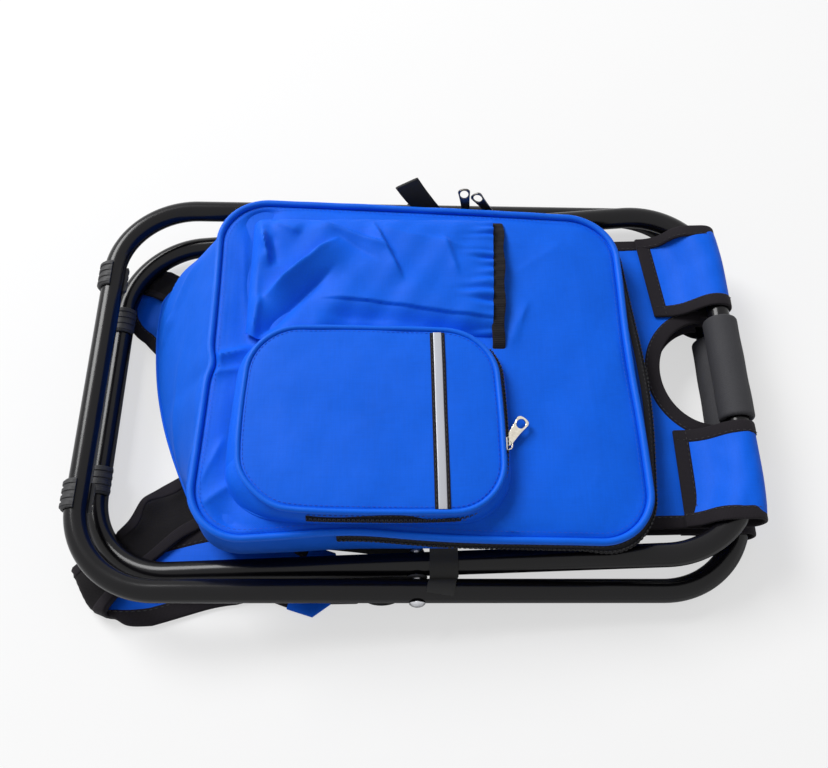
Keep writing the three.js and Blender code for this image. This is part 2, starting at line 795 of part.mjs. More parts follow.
// The body's length runs along the pin, or across it once it is turned.
function slider(turned) {
  const nose = SLIDER_W / 2;
  const shape = new THREE.Shape([
    new THREE.Vector2(-SLIDER_L / 2, -nose / 2),
    new THREE.Vector2(-SLIDER_L / 4, -nose),
    new THREE.Vector2(SLIDER_L / 2, -nose),
    new THREE.Vector2(SLIDER_L / 2, nose),
    new THREE.Vector2(-SLIDER_L / 4, nose),
    new THREE.Vector2(-SLIDER_L / 2, nose / 2),
  ]);
  const spread = PULL_W / 2 + FIT + LUG_T / 2;
  const lug = box(LUG_T, PIN_D * 2, LUG_STAND + LUG_T);
  const pin = cylinder(PIN_D / 2, 2 * spread).rotate([0, 0, 90]);
  const lugZ = SLIDER_T + (LUG_STAND - LUG_T) / 2;
  return extrudeUp(shape, SLIDER_T)
    .rotate([0, 0, turned ? 90 : 0])
    .add(moved(lug, -spread, 0, lugZ))
    .add(moved(lug, spread, 0, lugZ))
    .add(moved(pin, 0, 0, PIN_UP));
}

// A pull: an eye round the pin and a flat tag along +Y with a hole at its end.
function pull() {
  const tag = new THREE.Shape([
    new THREE.Vector2(-PULL_W / 4, EYE_R + EYE_WALL / 2),
    new THREE.Vector2(PULL_W / 4, EYE_R + EYE_WALL / 2),
    new THREE.Vector2(PULL_W / 2, PULL_L - PULL_W),
    new THREE.Vector2(PULL_W / 4, PULL_L),
    new THREE.Vector2(-PULL_W / 4, PULL_L),
    new THREE.Vector2(-PULL_W / 2, PULL_L - PULL_W),
  ]);
  const eye = cylinder(EYE_OUT_R, PULL_W).rotate([0, 0, 90]);
  const bore = cylinder(EYE_R, PULL_W + OVERRUN).rotate([0, 0, 90]);
  const hole = cylinder(PULL_HOLE_D / 2, OVERRUN).rotate([90, 0, 0]);
  return moved(extrudeUp(tag, PULL_T), 0, 0, -PULL_T / 2)
    .add(eye)
    .subtract(bore)
    .subtract(moved(hole, 0, PULL_L - PULL_W / 2 - PULL_HOLE_D / 4, 0));
}

// A slider and its pull as one group, z out of the zip; the pull leans by an angle from flat.
function zipPair(name, place, lean, turned = false) {
  const body = piece(`${name}_slider`, slider(turned), turned ? "steel" : "blackPlastic");
  const tag = piece(`${name}_pull`, pull(), "steel", { z: PIN_UP, turnX: lean });
  return group(place, body, tag);
}

// Ties: a loop round the narrow side tube with a tail that meets the bag

function tieStrap() {
  const inner = TUBE_R + FIT;
  const outer = inner + TIE_T;
  const wall = NARROW_HALF - bagHalfAtTube() - FIT;
  const ring = new THREE.Shape();
  ring.absarc(0, 0, outer, 0, 2 * Math.PI, false);
  const hole = new THREE.Path();
  hole.absarc(0, 0, inner, 0, 2 * Math.PI, true);
  ring.holes.push(hole);
  const tail = moved(
    box(wall - inner - TIE_T / 2, TIE_TAIL_T, TIE_WIDTH),
    -(wall + inner + TIE_T / 2) / 2,
    0,
    TIE_WIDTH / 2,
  );
  return extrudeUp(ring, TIE_WIDTH)
    .add(tail)
    .rotate([90, 0, 90])
    .translate([-TIE_WIDTH / 2, 0, 0]);
}

// Half width of the bag body at the height of the side tubes beside the pivot
function bagHalfAtTube() {
  const x = TIE_FROM_PIVOT;
  const share = (0 - baseHeight(x)) / (rimHeight(x) - baseHeight(x));
  return (BAG_BASE_WIDTH + (BAG_WIDTH - BAG_BASE_WIDTH) * share) / 2;
}

// Shoulder straps and webbing, in the part's own frame with the floor at z = 0

// Hand-laid routes of the near side as shares of the foot reach and the wide loop's half width
const STRAP_SHARES = [
  [0.28, -0.33], [-0.2, -0.4], [-0.55, -0.5], [-0.76, -0.58], [-0.875, -0.665],
  [-0.915, -0.785], [-0.865, -0.9], [-0.76, -0.955], [-0.55, -0.955], [-0.28, -0.955],
];
// The far strap is laid double inside the loops: out under the bag's corner and back again.
const FAR_OUT_SHARES = [[0.28, -0.33], [-0.2, -0.375], [-0.55, -0.43], [-0.75, -0.49], [-0.9, -0.625]];
const FAR_BACK_SHARES = [
  [-0.9, -0.63], [-0.885, -0.487], [-0.842, -0.312], [-0.722, -0.175], [-0.585, -0.175],
  [-0.49, -0.312], [-0.462, -0.552], [-0.46, -0.701], [-0.443, -0.831], [-0.4, -0.922],
  [-0.348, -0.955], [-0.284, -0.955],
];
const WEB_SHARES = [[-0.075, -0.945], [-0.01, -0.84], [-0.08, -0.75], [-0.24, -0.71], [-0.42, -0.7]];
const WEB_RISE_SHARES = [0, 0, 0.06, 0.42, 1];

// A route on the floor; the far side's is the near side's mirrored.
function route(shares, side, heights = []) {
  return shares.map(
    ([x, y], i) =>
      new THREE.Vector3(PIVOT_X + x * FOOT_REACH, -side * y * WIDE_HALF, heights[i] ?? 0),
  );
}

function flatSection(width, thickness, edge) {
  const w = width / 2;
  return [
    new THREE.Vector2(-w, 0),
    new THREE.Vector2(w, 0),
    new THREE.Vector2(w, thickness - edge),
    new THREE.Vector2(w - edge, thickness),
    new THREE.Vector2(edge - w, thickness),
    new THREE.Vector2(-w, thickness - edge),
  ];
}

function shoulderStrap(side) {
  const runs = side < 0 ? [STRAP_SHARES] : [FAR_OUT_SHARES, FAR_BACK_SHARES];
  const section = flatSection(STRAP_WIDTH, STRAP_T, STRAP_EDGE);
  const laid = runs.map((run) => sweepLevel(curvePoints(route(run, side), STRAP_STEPS), section));
  return laid.reduce((whole, run) => whole.add(run));
}

// A ladder lock at the end of a strap: a flat frame with two webbing slots.
function ladderLock() {
  const outline = roundedOutline(0, LOCK_L, LOCK_W / 2, LOCK_CORNER_R);
  const slot = box(LOCK_SLOT, WEB_WIDTH + 2 * FIT, LOCK_T + OVERRUN);
  return [LOCK_BAR, LOCK_L - LOCK_BAR - LOCK_SLOT].reduce(
    (frame, x) => frame.subtract(moved(slot, x + LOCK_SLOT / 2, 0, LOCK_T / 2)),
    extrudeUp(new THREE.Shape(outline), LOCK_T),
  );
}

const LOCK_PLACE_X = PIVOT_X + STRAP_SHARES.at(-1)[0] * FOOT_REACH + FIT;
const LOCK_PLACE_Y = -STRAP_SHARES.at(-1)[1] * WIDE_HALF;

// Lower webbing: from the ladder lock, back along the floor and up to the underside of the bag.
function lowerWebbing(side) {
  const x = WEB_SHARES.at(-1)[0] * FOOT_REACH;
  const under = PIVOT_Z + LEVEL_AT(x) * Math.cos(REST_TILT) + baseHeight(x) * Math.cos(REST_TILT);
  const rise = under - 2 * FIT - WEB_T;
  const laid = route(WEB_SHARES, side, WEB_RISE_SHARES.map((share) => share * rise));
  const lead = [FIT, FIT + LOCK_BAR].map(
    (gap) => new THREE.Vector3(LOCK_PLACE_X + LOCK_L + gap, side * LOCK_PLACE_Y, 0),
  );
  const line = curvePoints([...lead, ...laid], WEB_STEPS);
  line.forEach((p) => p.setZ(Math.max(p.z, 0)));
  return sweepLevel(line, flatSection(WEB_WIDTH, WEB_T, WEB_T / 2));
}

// Assembly

function lidGroup() {
  const sliderX = POCKET_FROM_HINGE + POCKET_LENGTH + FIT + POCKET_TAPE_T + FIT;
  const wallMiddle = POCKET_BASE + POCKET_WALL_H / 2;
  const pocket = { x: POCKET_FROM_HINGE, y: POCKET_CENTRE_Y, z: POCKET_BASE };
  const onTop = { x: POCKET_FROM_HINGE, y: POCKET_CENTRE_Y, z: POCKET_TOP };
  const pouchAt = { x: POUCH_FROM_HINGE, y: POUCH_CENTRE_Y, z: POCKET_BASE };
  return group(
    { x: -BAG_LEFT, z: BAG_DEPTH_LEFT, turnY: LID_TILT },
    piece("bag_lid", lidPlate(), "blueFabric"),
    piece("lid_piping", lidPiping(), "bluePiping"),
    piece("zip_pocket_wall", pocketWall(), "blueFabric", pocket),
    piece("zip_pocket_flap", pocketFlap(), "blueFabric", onTop),
    piece("zip_pocket_piping", pocketPiping(), "bluePiping", onTop),
    piece("zip_pocket_tape", pocketTape(), "blackWebbing", pocket),
    piece("reflective_strip", reflectiveStrip(), "reflective", {
      x: STRIP_FROM_HINGE + STRIP_W / 2,
      y: POCKET_CENTRE_Y,
      z: POCKET_TOP + POCKET_FLAP_T + FIT + STRIP_T / 2,
    }),
    piece("bottle_pocket", pouch(), "blueFabric", pouchAt),
    piece("elastic_band", elasticBand(), "blackWebbing", {
      ...pouchAt,
      x: POUCH_FROM_HINGE + POUCH_LENGTH + FIT,
    }),
    // The pocket's slider faces the top of the bag, and its pull swings over the lid.
    zipPair(
      "pocket",
      { x: sliderX, y: POCKET_SLIDER_Y, z: wallMiddle, turnY: Math.PI / 2 },
      POCKET_PULL_LEAN,
      true,
    ),
  );
}

function mainZips() {
  const wall = BAG_WIDTH / 2 + FIT + BAG_SKIN / 2 + ZIP_TAPE_T + FIT;
  return ["left", "right"].map((side, i) => {
    const x = MAIN_SLIDER_X + i * MAIN_SLIDER_SPACING;
    const z = rimHeight(x) - ZIP_TAPE_DROP - ZIP_TAPE_W / 2;
    return group(
      { x, y: wall, z, turnY: LID_TILT },
      zipPair(`main_${side}`, { turnX: Math.PI / 2, turnY: Math.PI }, MAIN_PULL_LEAN),
    );
  });
}

function bagGroup() {
  const tie = tieStrap();
  return group(
    {},
    piece("bag_body", bagTub(0, BAG_SKIN, [...BAG_SHARES, 1]), "blueFabric"),
    piece("bag_liner", bagTub(BAG_SKIN + FIT, LINER_T, BAG_SHARES), "foil"),
    piece("main_zip_tape", mainZipTape(), "blackWebbing"),
    ...mainZips(),
    lidGroup(),
    piece("tie_strap_far", tie, "blackWebbing", { x: TIE_FROM_PIVOT, y: NARROW_HALF }),
    piece("tie_strap_near", tie, "blackWebbing", {
      x: TIE_FROM_PIVOT,
      y: -NARROW_HALF,
      turnZ: Math.PI,
    }),
  );
}

function wideFrame() {
  const facing = Math.PI + OPEN_TILT;
  return group(
    { x: PIVOT_X, z: PIVOT_Z, turnY: REST_TILT },
    piece("wide_frame", loopTube(WIDE_HALF), "blackSteel"),
    piece("pivot_rivet_far", rivet(), "steel"),
    piece("pivot_rivet_near", rivet(), "steel", { turnZ: Math.PI }),
    piece("pivot_washer_far", washer(), "steel"),
    piece("pivot_washer_near", washer(), "steel", { turnZ: Math.PI }),
    ...footClips("wide", WIDE_HALF, WIDE_CLIP_Y, facing),
    piece("wide_grip", foamGrip(), "foam", { x: SEAT_REACH }),
    seatHalf("wide", WIDE_HALF, true),
  );
}

function narrowFrame() {
  const facing = Math.PI - OPEN_TILT;
  return group(
    { x: PIVOT_X, z: PIVOT_Z, turnY: -REST_TILT },
    piece("narrow_frame", loopTube(NARROW_HALF), "blackSteel"),
    ...footClips("narrow", NARROW_HALF, NARROW_CLIP_Y, facing),
    piece("narrow_grip", foamGrip(), "foam", { x: SEAT_REACH }),
    seatHalf("narrow", NARROW_HALF, false),
    bagGroup(),
  );
}

// One side's strap, ladder lock and webbing, tied to the bag and lying on the floor
function strapSet(side) {
  const label = side < 0 ? "near" : "far";
  return [
    piece(`shoulder_strap_${label}`, shoulderStrap(side), "blueFabric"),
    piece(`ladder_lock_${label}`, ladderLock(), "blackPlastic", {
      x: LOCK_PLACE_X,
      y: side * LOCK_PLACE_Y,
    }),
    piece(`lower_webbing_${label}`, lowerWebbing(side), "blackWebbing"),
  ];
}

const stool = group({}, wideFrame(), narrowFrame(), ...strapSet(-1), ...strapSet(1));

export default stool;
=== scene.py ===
"""Folding cooler stool, folded flat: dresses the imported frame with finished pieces.

Shapes are worked out in millimetres in the frame of the sub-assembly that carries them and are
turned into metres of the row frame at the end. X runs along the legs towards the seat bars, Y to
the far side and Z up. "Near" is the side at negative Y and "far" the one at positive Y.
"""

from __future__ import annotations

import logging
import math
from dataclasses import dataclass
from enum import Enum
from typing import Any, Callable, Sequence

import bmesh
import bpy
import numpy as np
from mathutils import Matrix, Vector

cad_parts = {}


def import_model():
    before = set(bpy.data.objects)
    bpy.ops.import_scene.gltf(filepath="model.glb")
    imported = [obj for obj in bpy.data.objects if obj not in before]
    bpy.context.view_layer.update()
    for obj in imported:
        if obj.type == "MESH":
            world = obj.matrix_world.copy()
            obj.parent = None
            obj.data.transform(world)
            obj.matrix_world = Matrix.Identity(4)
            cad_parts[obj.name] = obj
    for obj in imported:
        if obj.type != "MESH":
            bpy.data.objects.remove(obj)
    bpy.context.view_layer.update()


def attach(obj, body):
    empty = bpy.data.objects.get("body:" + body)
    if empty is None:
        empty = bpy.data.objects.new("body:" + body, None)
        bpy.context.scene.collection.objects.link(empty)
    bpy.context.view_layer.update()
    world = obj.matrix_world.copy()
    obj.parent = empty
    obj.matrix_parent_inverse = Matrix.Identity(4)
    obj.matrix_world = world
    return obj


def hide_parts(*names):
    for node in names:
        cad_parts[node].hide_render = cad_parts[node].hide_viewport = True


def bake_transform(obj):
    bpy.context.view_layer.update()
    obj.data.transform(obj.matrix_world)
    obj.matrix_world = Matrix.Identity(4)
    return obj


Array = np.ndarray
Settings = dict[str, Any]
Colour = tuple[float, float, float, float]
Point = tuple[float, float, float]
FlatPoints = tuple[tuple[float, float], ...]

LOG = logging.getLogger("stool")
METRES_PER_MM = 0.001
WELD_DISTANCE = 1e-6
UP = np.array([0.0, 0.0, 1.0])
ACROSS = np.array([0.0, 1.0, 0.0])
BAR_SIDES = 6
CREST_SQUARED = 1.2
CREST_RADIUS = 1.1
FOLD_OVERRUN = 0.25
FOLD_FADE = 0.45
HANDLE = 0.55
CORD_LOG = "%s is %.0f mm long"
TOOTH_REACH = 1.7
TOOTH_SIZE = (0.5, 0.6)
TOOTH_LEAN = 0.22
FLOOR_GAP = 0.1
WHITE = (1.0, 1.0, 1.0, 1.0)


# Frames and plain shape helpers


@dataclass(frozen=True)
class Place:
    """A local frame: its origin in the row frame in millimetres and its turn about Y."""

    origin: tuple[float, float, float] = (0.0, 0.0, 0.0)
    turn: float = 0.0
    flip: bool = False

    def turned(self, vectors: Array) -> Array:
        """Directions of this frame as directions of the row frame.

        Args:
            vectors: directions of this frame.

        Returns:
            The same directions of the row frame.
        """
        a = math.radians(self.turn)
        x, y, z = np.moveaxis(np.asarray(vectors, float), -1, 0)
        if self.flip:
            z = -z
        across = x * math.cos(a) + z * math.sin(a)
        return np.stack([across, y, z * math.cos(a) - x * math.sin(a)], -1)

    def row(self, points: Array) -> Array:
        """Points of this frame as points of the row frame, both in millimetres."""
        return self.turned(points) + np.array(self.origin)


PIVOT = (3.19, 0.0, 27.955)
ROW = Place()
NARROW = Place(PIVOT, -4.15)
WIDE = Place(PIVOT, 4.15)
LID = Place((-150.83, 0.0, 77.94), 3.726)


def smooth(t: Array) -> Array:
    """An S-shaped ramp from 0 to 1: 3 t squared less 2 t cubed, held outside 0 to 1."""
    t = np.clip(t, 0, 1)
    return t * t * (3 - 2 * t)


def ramp(x: Array, start: float, end: float) -> Array:
    """An S-shaped ramp of x between start and end."""
    return smooth((x - start) / (end - start))


def unit(vectors: Array) -> Array:
    """Vectors scaled to length one along the last axis."""
    return vectors / np.maximum(np.linalg.norm(vectors, axis=-1, keepdims=True), 1e-12)


def points3(flat: Array, height: Array | float) -> Array:
    """Plane points with a height as points in space."""
    return np.concatenate([flat, np.broadcast_to(height, flat.shape[:-1])[..., None]], -1)


def around(count: int) -> Array:
    """Even angles round a full turn."""
    return np.linspace(0, 2 * np.pi, count, endpoint=False)


def hump(x: Array, middle: float, reach: float) -> Array:
    """One at the middle and falling off: e to minus the square of the distance over the reach."""
    return np.exp(-(((x - middle) / reach) ** 2))


def nearness(points: Array, centre: Sequence[float], reach: float) -> Array:
    """The same fall about a centre, seen from above."""
    return hump(np.linalg.norm(points[..., :2] - np.array(centre), axis=-1), 0.0, reach)


def looped(path: Array) -> Array:
    """A path with its first point again at its end."""
    return np.concatenate([path, path[:1]])


def lengths_along(path: Array, closed: bool = False) -> Array:
    """Distance from the start to each point of a path; a closed path has one entry more.

    Args:
        path: the points.
        closed: whether the last point joins the first.

    Returns:
        The distances.
    """
    ring = looped(path) if closed else path
    steps = np.linalg.norm(np.diff(ring, axis=0), axis=-1)
    return np.concatenate([[0.0], np.cumsum(steps)])


def read_at(wanted: Array, at: Array, values: Array) -> Array:
    """Rows of values read between their neighbours at wanted distances along a path."""
    return np.stack([np.interp(wanted, at, values[:, k]) for k in range(values.shape[1])], -1)


def resampled(path: Array, count: int, closed: bool = False) -> Array:
    """A path's points spaced evenly: each coordinate is read at even shares of the length.

    Args:
        path: the points.
        count: how many points are wanted.
        closed: whether the last point joins the first.

    Returns:
        The new points.
    """
    ring = looped(path) if closed else path
    at = lengths_along(ring)
    wanted = np.linspace(0, at[-1], count + 1)[:-1] if closed else np.linspace(0, at[-1], count)
    return read_at(wanted, at, ring)


def spline(knots: Sequence[Sequence[float]], count: int) -> Array:
    """A smooth path through knots: cubic pieces whose slopes join each knot's neighbours.

    Args:
        knots: points that the path passes.
        count: how many points are wanted.

    Returns:
        Evenly spaced points.
    """
    k = np.asarray(knots, float)
    padded = np.concatenate([2 * k[:1] - k[1:2], k, 2 * k[-1:] - k[-2:-1]])
    t = np.linspace(0, len(k) - 1, 24 * len(k))
    i = np.minimum(t.astype(int), len(k) - 2)
    f = (t - i)[:, None]
    a, b, c, d = (padded[i + j] for j in range(4))
    curve = 0.5 * (2 * b + (c - a) * f + (2 * a - 5 * b + 4 * c - d) * f**2)
    curve += 0.5 * (3 * b - a - 3 * c + d) * f**3
    return resampled(curve, count)


def tangents(path: Array, closed: bool = False) -> Array:
    """Directions along a path: half the step from the point before to the point after.

    Args:
        path: the points.
        closed: whether the last point joins the first.

    Returns:
        Directions of length one.
    """
    if closed:
        return unit(np.roll(path, -1, 0) - np.roll(path, 1, 0))
    return unit(np.gradient(path, axis=0))


def rounded_quad(
    corners: Sequence[Sequence[float]],
    radius: float,
    side: int = 60,
    arc: int = 20,
    bows: Sequence[float] = (0, 0, 0, 0),
) -> Array:
    """A closed four-sided outline with rounded corners, counter-clockwise.

    Each corner is a cubic whose handles are 0.55 of the radius, and each side is a straight run
    bowed outwards by a half sine.

    Args:
        corners: near-left, near-right, far-right and far-left corner.
        radius: corner radius.
        side: points along each side.
        arc: points round each corner.
        bows: how far each side bows out, from the near side on.

    Returns:
        The outline's points, one row each.
    """
    c = np.asarray(corners, float)
    along = unit(np.roll(c, -1, 0) - c)
    before = np.roll(along, 1, 0)
    first, last = c - before * radius, c + along * radius
    handles = (first + before * radius * HANDLE, last - along * radius * HANDLE)
    t = np.linspace(0, 1, arc)[None, :, None]
    bend = (
        (1 - t) ** 3 * first[:, None]
        + 3 * (1 - t) ** 2 * t * handles[0][:, None]
        + 3 * (1 - t) * t**2 * handles[1][:, None]
        + t**3 * last[:, None]
    )
    s = np.linspace(0, 1, side + 2)[None, 1:-1, None]
    out = np.stack([along[:, 1], -along[:, 0]], -1)
    run = last[:, None] * (1 - s) + np.roll(first, -1, 0)[:, None] * s
    run = run + out[:, None] * np.asarray(bows, float)[:, None, None] * np.sin(np.pi * s)
    return np.concatenate([bend, run], 1).reshape(-1, 2)


def outward(outline: Array) -> Array:
    """Directions out of a counter-clockwise outline: its tangents turned by a right angle."""
    t = tangents(outline, True)
    return np.stack([t[:, 1], -t[:, 0]], -1)


def circle(radius: float, sides: int, height: float | None = None) -> Array:
    """A section of a round or oval cord: cosine and sine of even angles."""
    a = around(sides)
    return np.stack([radius * np.cos(a), (height or radius) * np.sin(a)], -1)


def band_section(width: float, thickness: float, sides: int = 16, start: float = 0.0) -> Array:
    """A flat section with round edges: a circle's points with their cosines sharpened.

    Args:
        width: its width.
        thickness: its thickness.
        sides: how many points it has.
        start: where its width starts.

    Returns:
        The section's points.
    """
    a = around(sides) + np.pi / sides
    x = np.sign(np.cos(a)) * np.abs(np.cos(a)) ** 0.35
    y = np.sign(np.sin(a)) * np.abs(np.sin(a)) ** 0.6
    return np.stack([start + width * (x + 1) / 2, thickness / 2 * y], -1)


@dataclass(frozen=True)
class Crease:
    """A fold in cloth along a straight line, steeper on one side."""

    start: tuple[float, float]
    end: tuple[float, float]
    height: float
    width: float
    lean: float = 1.0

    def at(self, x: Array, y: Array) -> Array:
        """Height of the fold: it falls off with the distance from the line, faster on the left.

        Args:
            x: places along X.
            y: places along Y.

        Returns:
            The height at each place.
        """
        a, b = np.array(self.start), np.array(self.end)
        run = b - a
        t = ((x - a[0]) * run[0] + (y - a[1]) * run[1]) / (run @ run)
        side = ((x - a[0]) * -run[1] + (y - a[1]) * run[0]) / np.linalg.norm(run)
        width = np.where(side > 0, self.width / self.lean, self.width * self.lean)
        fade = smooth(np.minimum(t + FOLD_OVERRUN, 1 + FOLD_OVERRUN - t) / FOLD_FADE)
        crest = np.exp(-(np.sqrt(side**2 + CREST_SQUARED) - CREST_RADIUS) / width)
        return self.height * crest * fade


def folded(creases: Sequence[Crease], x: Array, y: Array) -> Array:
    """Height of several folds together."""
    return sum(crease.at(x, y) for crease in creases)


def ripple(x: Array, y: Array, size: float) -> Array:
    """A soft uneven height between about -1 and 1: a few sines that never line up.

    Args:
        x: places along X.
        y: places along Y.
        size: the rough distance between two crests.

    Returns:
        The height at each place.
    """
    k = 2 * np.pi / size
    total = np.sin(k * (0.93 * x + 0.31 * y) + 0.4) * np.sin(k * (0.27 * x - 0.88 * y) + 1.9)
    total += 0.6 * np.sin(k * (0.52 * x + 0.77 * y) * 1.7 + 2.6)
    total += 0.4 * np.sin(k * (0.81 * x - 0.49 * y) * 2.6 + 0.9)
    return total / 1.6


# Meshes


@dataclass
class Patch:
    """A grid of points, or a stack of grids, that becomes quads."""

    points: Array
    wrap_rows: bool = False
    wrap_cols: bool = False
    capped: bool = False
    uv: Array | None = None

    def __post_init__(self) -> None:
        """Makes the points a stack of grids and works out the map in millimetres."""
        if self.points.ndim == 3:
            self.points = self.points[None]
        if self.uv is None:
            self.uv = self._arc_map()

    def _arc_map(self) -> Array:
        """A map from arc lengths: mean distance along the rows and along the columns.

        Returns:
            The map at each row and column.
        """
        grid = self.points[0]
        rows = looped(grid) if self.wrap_rows else grid
        cols = np.concatenate([grid, grid[:, :1]], 1) if self.wrap_cols else grid
        down = np.linalg.norm(np.diff(rows, axis=0), axis=-1).mean(1)
        over = np.linalg.norm(np.diff(cols, axis=1), axis=-1).mean(0)
        u = np.concatenate([[0.0], np.cumsum(down)])
        v = np.concatenate([[0.0], np.cumsum(over)])
        return np.stack(np.meshgrid(u, v, indexing="ij"), -1)

    def faces(self) -> tuple[Array, Array]:
        """Corner numbers of each quad and the map at each corner.

        Returns:
            The corners and the map.
        """
        count, rows, cols = self.points.shape[:3]
        i, j = np.meshgrid(
            np.arange(rows if self.wrap_rows else rows - 1),
            np.arange(cols if self.wrap_cols else cols - 1),
            indexing="ij",
        )
        i, j = i.ravel(), j.ravel()
        steps = ((0, 0), (1, 0), (1, 1), (0, 1))
        quad = np.stack([((i + a) % rows) * cols + (j + b) % cols for a, b in steps], -1)
        mapped = np.stack([self.uv[i + a, j + b] for a, b in steps], 1)
        shifts = np.arange(count)[:, None, None] * rows * cols
        return (quad[None] + shifts).reshape(-1, 4), np.tile(mapped, (count, 1, 1))

    def caps(self) -> list[list[int]]:
        """The first and last rows of each grid as many-sided faces.

        Returns:
            The corner numbers of each face.
        """
        if not self.capped:
            return []
        count, rows, cols = self.points.shape[:3]
        ends = []
        for start in range(0, count * rows * cols, rows * cols):
            last = start + (rows - 1) * cols
            ends.append(list(range(start, start + cols)))
            ends.append(list(range(last + cols - 1, last - 1, -1)))
        return ends


def sheet(grid: Array, thickness: float, wrap_rows: bool = False) -> list[Patch]:
    """A sheet of cloth as a closed skin: the grid moved out and in by half the thickness.

    Args:
        grid: the sheet's middle.
        thickness: its thickness.
        wrap_rows: whether its last row joins its first.

    Returns:
        The skin and, where it isn't wrapped, its two ends.
    """
    if wrap_rows:
        down = np.roll(grid, -1, 0) - np.roll(grid, 1, 0)
    else:
        down = np.gradient(grid, axis=0)
    out = unit(np.cross(down, np.gradient(grid, axis=1))) * thickness / 2
    loop = np.concatenate([grid + out, (grid - out)[:, ::-1]], 1)
    patches = [Patch(loop, wrap_rows=wrap_rows, wrap_cols=True)]
    if not wrap_rows:
        cols = grid.shape[1]
        for end in (loop[0], loop[-1]):
            patches.append(Patch(np.stack([end[:cols], end[: cols - 1 : -1]])))
    return patches


def sweep(
    path: Array, section: Array, up: Array = UP, closed: bool = False, twist: Array | float = 0.0
) -> Patch:
    """A section carried along a path; its x lies across the path and its y towards up.

    Args:
        path: the points.
        section: one section, or one for each point.
        up: the direction that the section's y leans to.
        closed: whether the last point joins the first.
        twist: a turn of the section about the path, in radians.

    Returns:
        The swept shape.
    """
    along = tangents(path, closed)
    side = unit(np.cross(along, np.broadcast_to(up, path.shape)))
    lift = np.cross(side, along)
    angle = np.broadcast_to(twist, (len(path),))[:, None]
    across = side * np.cos(angle) + lift * np.sin(angle)
    high = lift * np.cos(angle) - side * np.sin(angle)
    if section.ndim == 2:
        section = np.broadcast_to(section, (len(path), *section.shape))
    points = path[:, None] + across[:, None] * section[..., :1] + high[:, None] * section[..., 1:]
    return Patch(points, wrap_rows=closed, wrap_cols=True, capped=not closed)


def edged(path: Array, inward: Array, up: Array, section: Array, closed: bool = False) -> Patch:
    """A section carried along an edge, with its x into the cloth and its y out of its face."""
    points = path[:, None] + inward[:, None] * section[:, :1] + up[:, None] * section[:, 1:]
    return Patch(points, wrap_rows=closed, wrap_cols=True, capped=not closed)


def turned_about_y(profile: Sequence[Sequence[float]], sides: int, centre: Array) -> Patch:
    """A profile of radius and y turned about a line through the centre along Y.

    Args:
        profile: radius and y, one row each.
        sides: how many steps the turn has.
        centre: a point on the line.

    Returns:
        The turned shape.
    """
    p = np.asarray(profile, float)
    a = around(sides)
    x, z = p[:, :1] * np.cos(a), p[:, :1] * np.sin(a)
    return Patch(np.stack([x, np.broadcast_to(p[:, 1:], x.shape), z], -1) + centre, wrap_cols=True)


def fan(outline: Array, rings: Array) -> Array:
    """Rings that shrink from an outline to its middle, by shares of the way from the middle."""
    middle = outline.mean(0)
    return middle + (outline - middle)[None] * rings[:, None, None]


def spindles(
    centre: Array, axes: Sequence[Array], profile: Sequence[Sequence[float]], size: Sequence[float]
) -> Patch:
    """Small closed bars: six-sided rings carried along each bar's own axis.

    Args:
        centre: the middle of each bar.
        axes: directions along, across and up, one row for each bar.
        profile: distances along a bar, and the share of its size at each.
        size: the bar's half size across and up.

    Returns:
        All the bars as one patch.
    """
    t, share = np.array(profile)
    a = around(BAR_SIDES)
    along, across, up = (axis[:, None, None] for axis in axes)
    x = (share[:, None] * np.cos(a) * size[0])[None, :, :, None]
    y = (share[:, None] * np.sin(a) * size[1])[None, :, :, None]
    points = centre[:, None, None] + along * t[None, :, None, None] + across * x + up * y
    return Patch(points, wrap_cols=True)


def stitches(
    path: Array, up: Array, length: float = 2.6, pitch: float = 3.8, radius: float = 0.32
) -> Patch:
    """A row of sewing stitches: small spindles laid along a path at an even pitch.

    Args:
        path: the seam's line.
        up: directions out of the cloth.
        length: the length of one stitch.
        pitch: the distance from one stitch to the next.
        radius: half the thread's thickness.

    Returns:
        The stitches.
    """
    at = lengths_along(path)
    count = max(int(at[-1] / pitch), 1)
    wanted = (np.arange(count) + 0.5) * at[-1] / count
    along = unit(read_at(wanted, at, tangents(path)))
    side = unit(np.cross(along, read_at(wanted, at, np.broadcast_to(up, path.shape))))
    profile = (length * np.array([-0.5, -0.4, -0.15, 0.15, 0.4, 0.5]), (0, 0.7, 1, 1, 0.7, 0))
    axes = (along, side, np.cross(side, along))
    return spindles(read_at(wanted, at, path), axes, profile, (radius, radius))


def zip_teeth(path: Array, out: Array, across: Array, pitch: float = 1.5) -> Patch:
    """A zip's coil: small rounded bars across the path, turned a little left and right.

    Args:
        path: the coil's line.
        out: directions out of the tape.
        across: directions across the zip.
        pitch: the distance from one tooth to the next.

    Returns:
        The teeth.
    """
    at = lengths_along(path)
    count = int(at[-1] / pitch)
    wanted = (np.arange(count) + 0.5) * pitch
    high, wide = (unit(read_at(wanted, at, values)) for values in (out, across))
    lean = np.where(np.arange(count) % 2 == 0, TOOTH_LEAN, -TOOTH_LEAN)[:, None]
    wide = unit(wide + np.cross(high, wide) * lean)
    profile = (TOOTH_REACH * np.array([-1.0, -0.85, 0.0, 0.85, 1.0]), (0, 0.8, 1, 0.8, 0))
    axes = (wide, np.cross(high, wide), high)
    return spindles(read_at(wanted, at, path), axes, profile, TOOTH_SIZE)


# Finishes


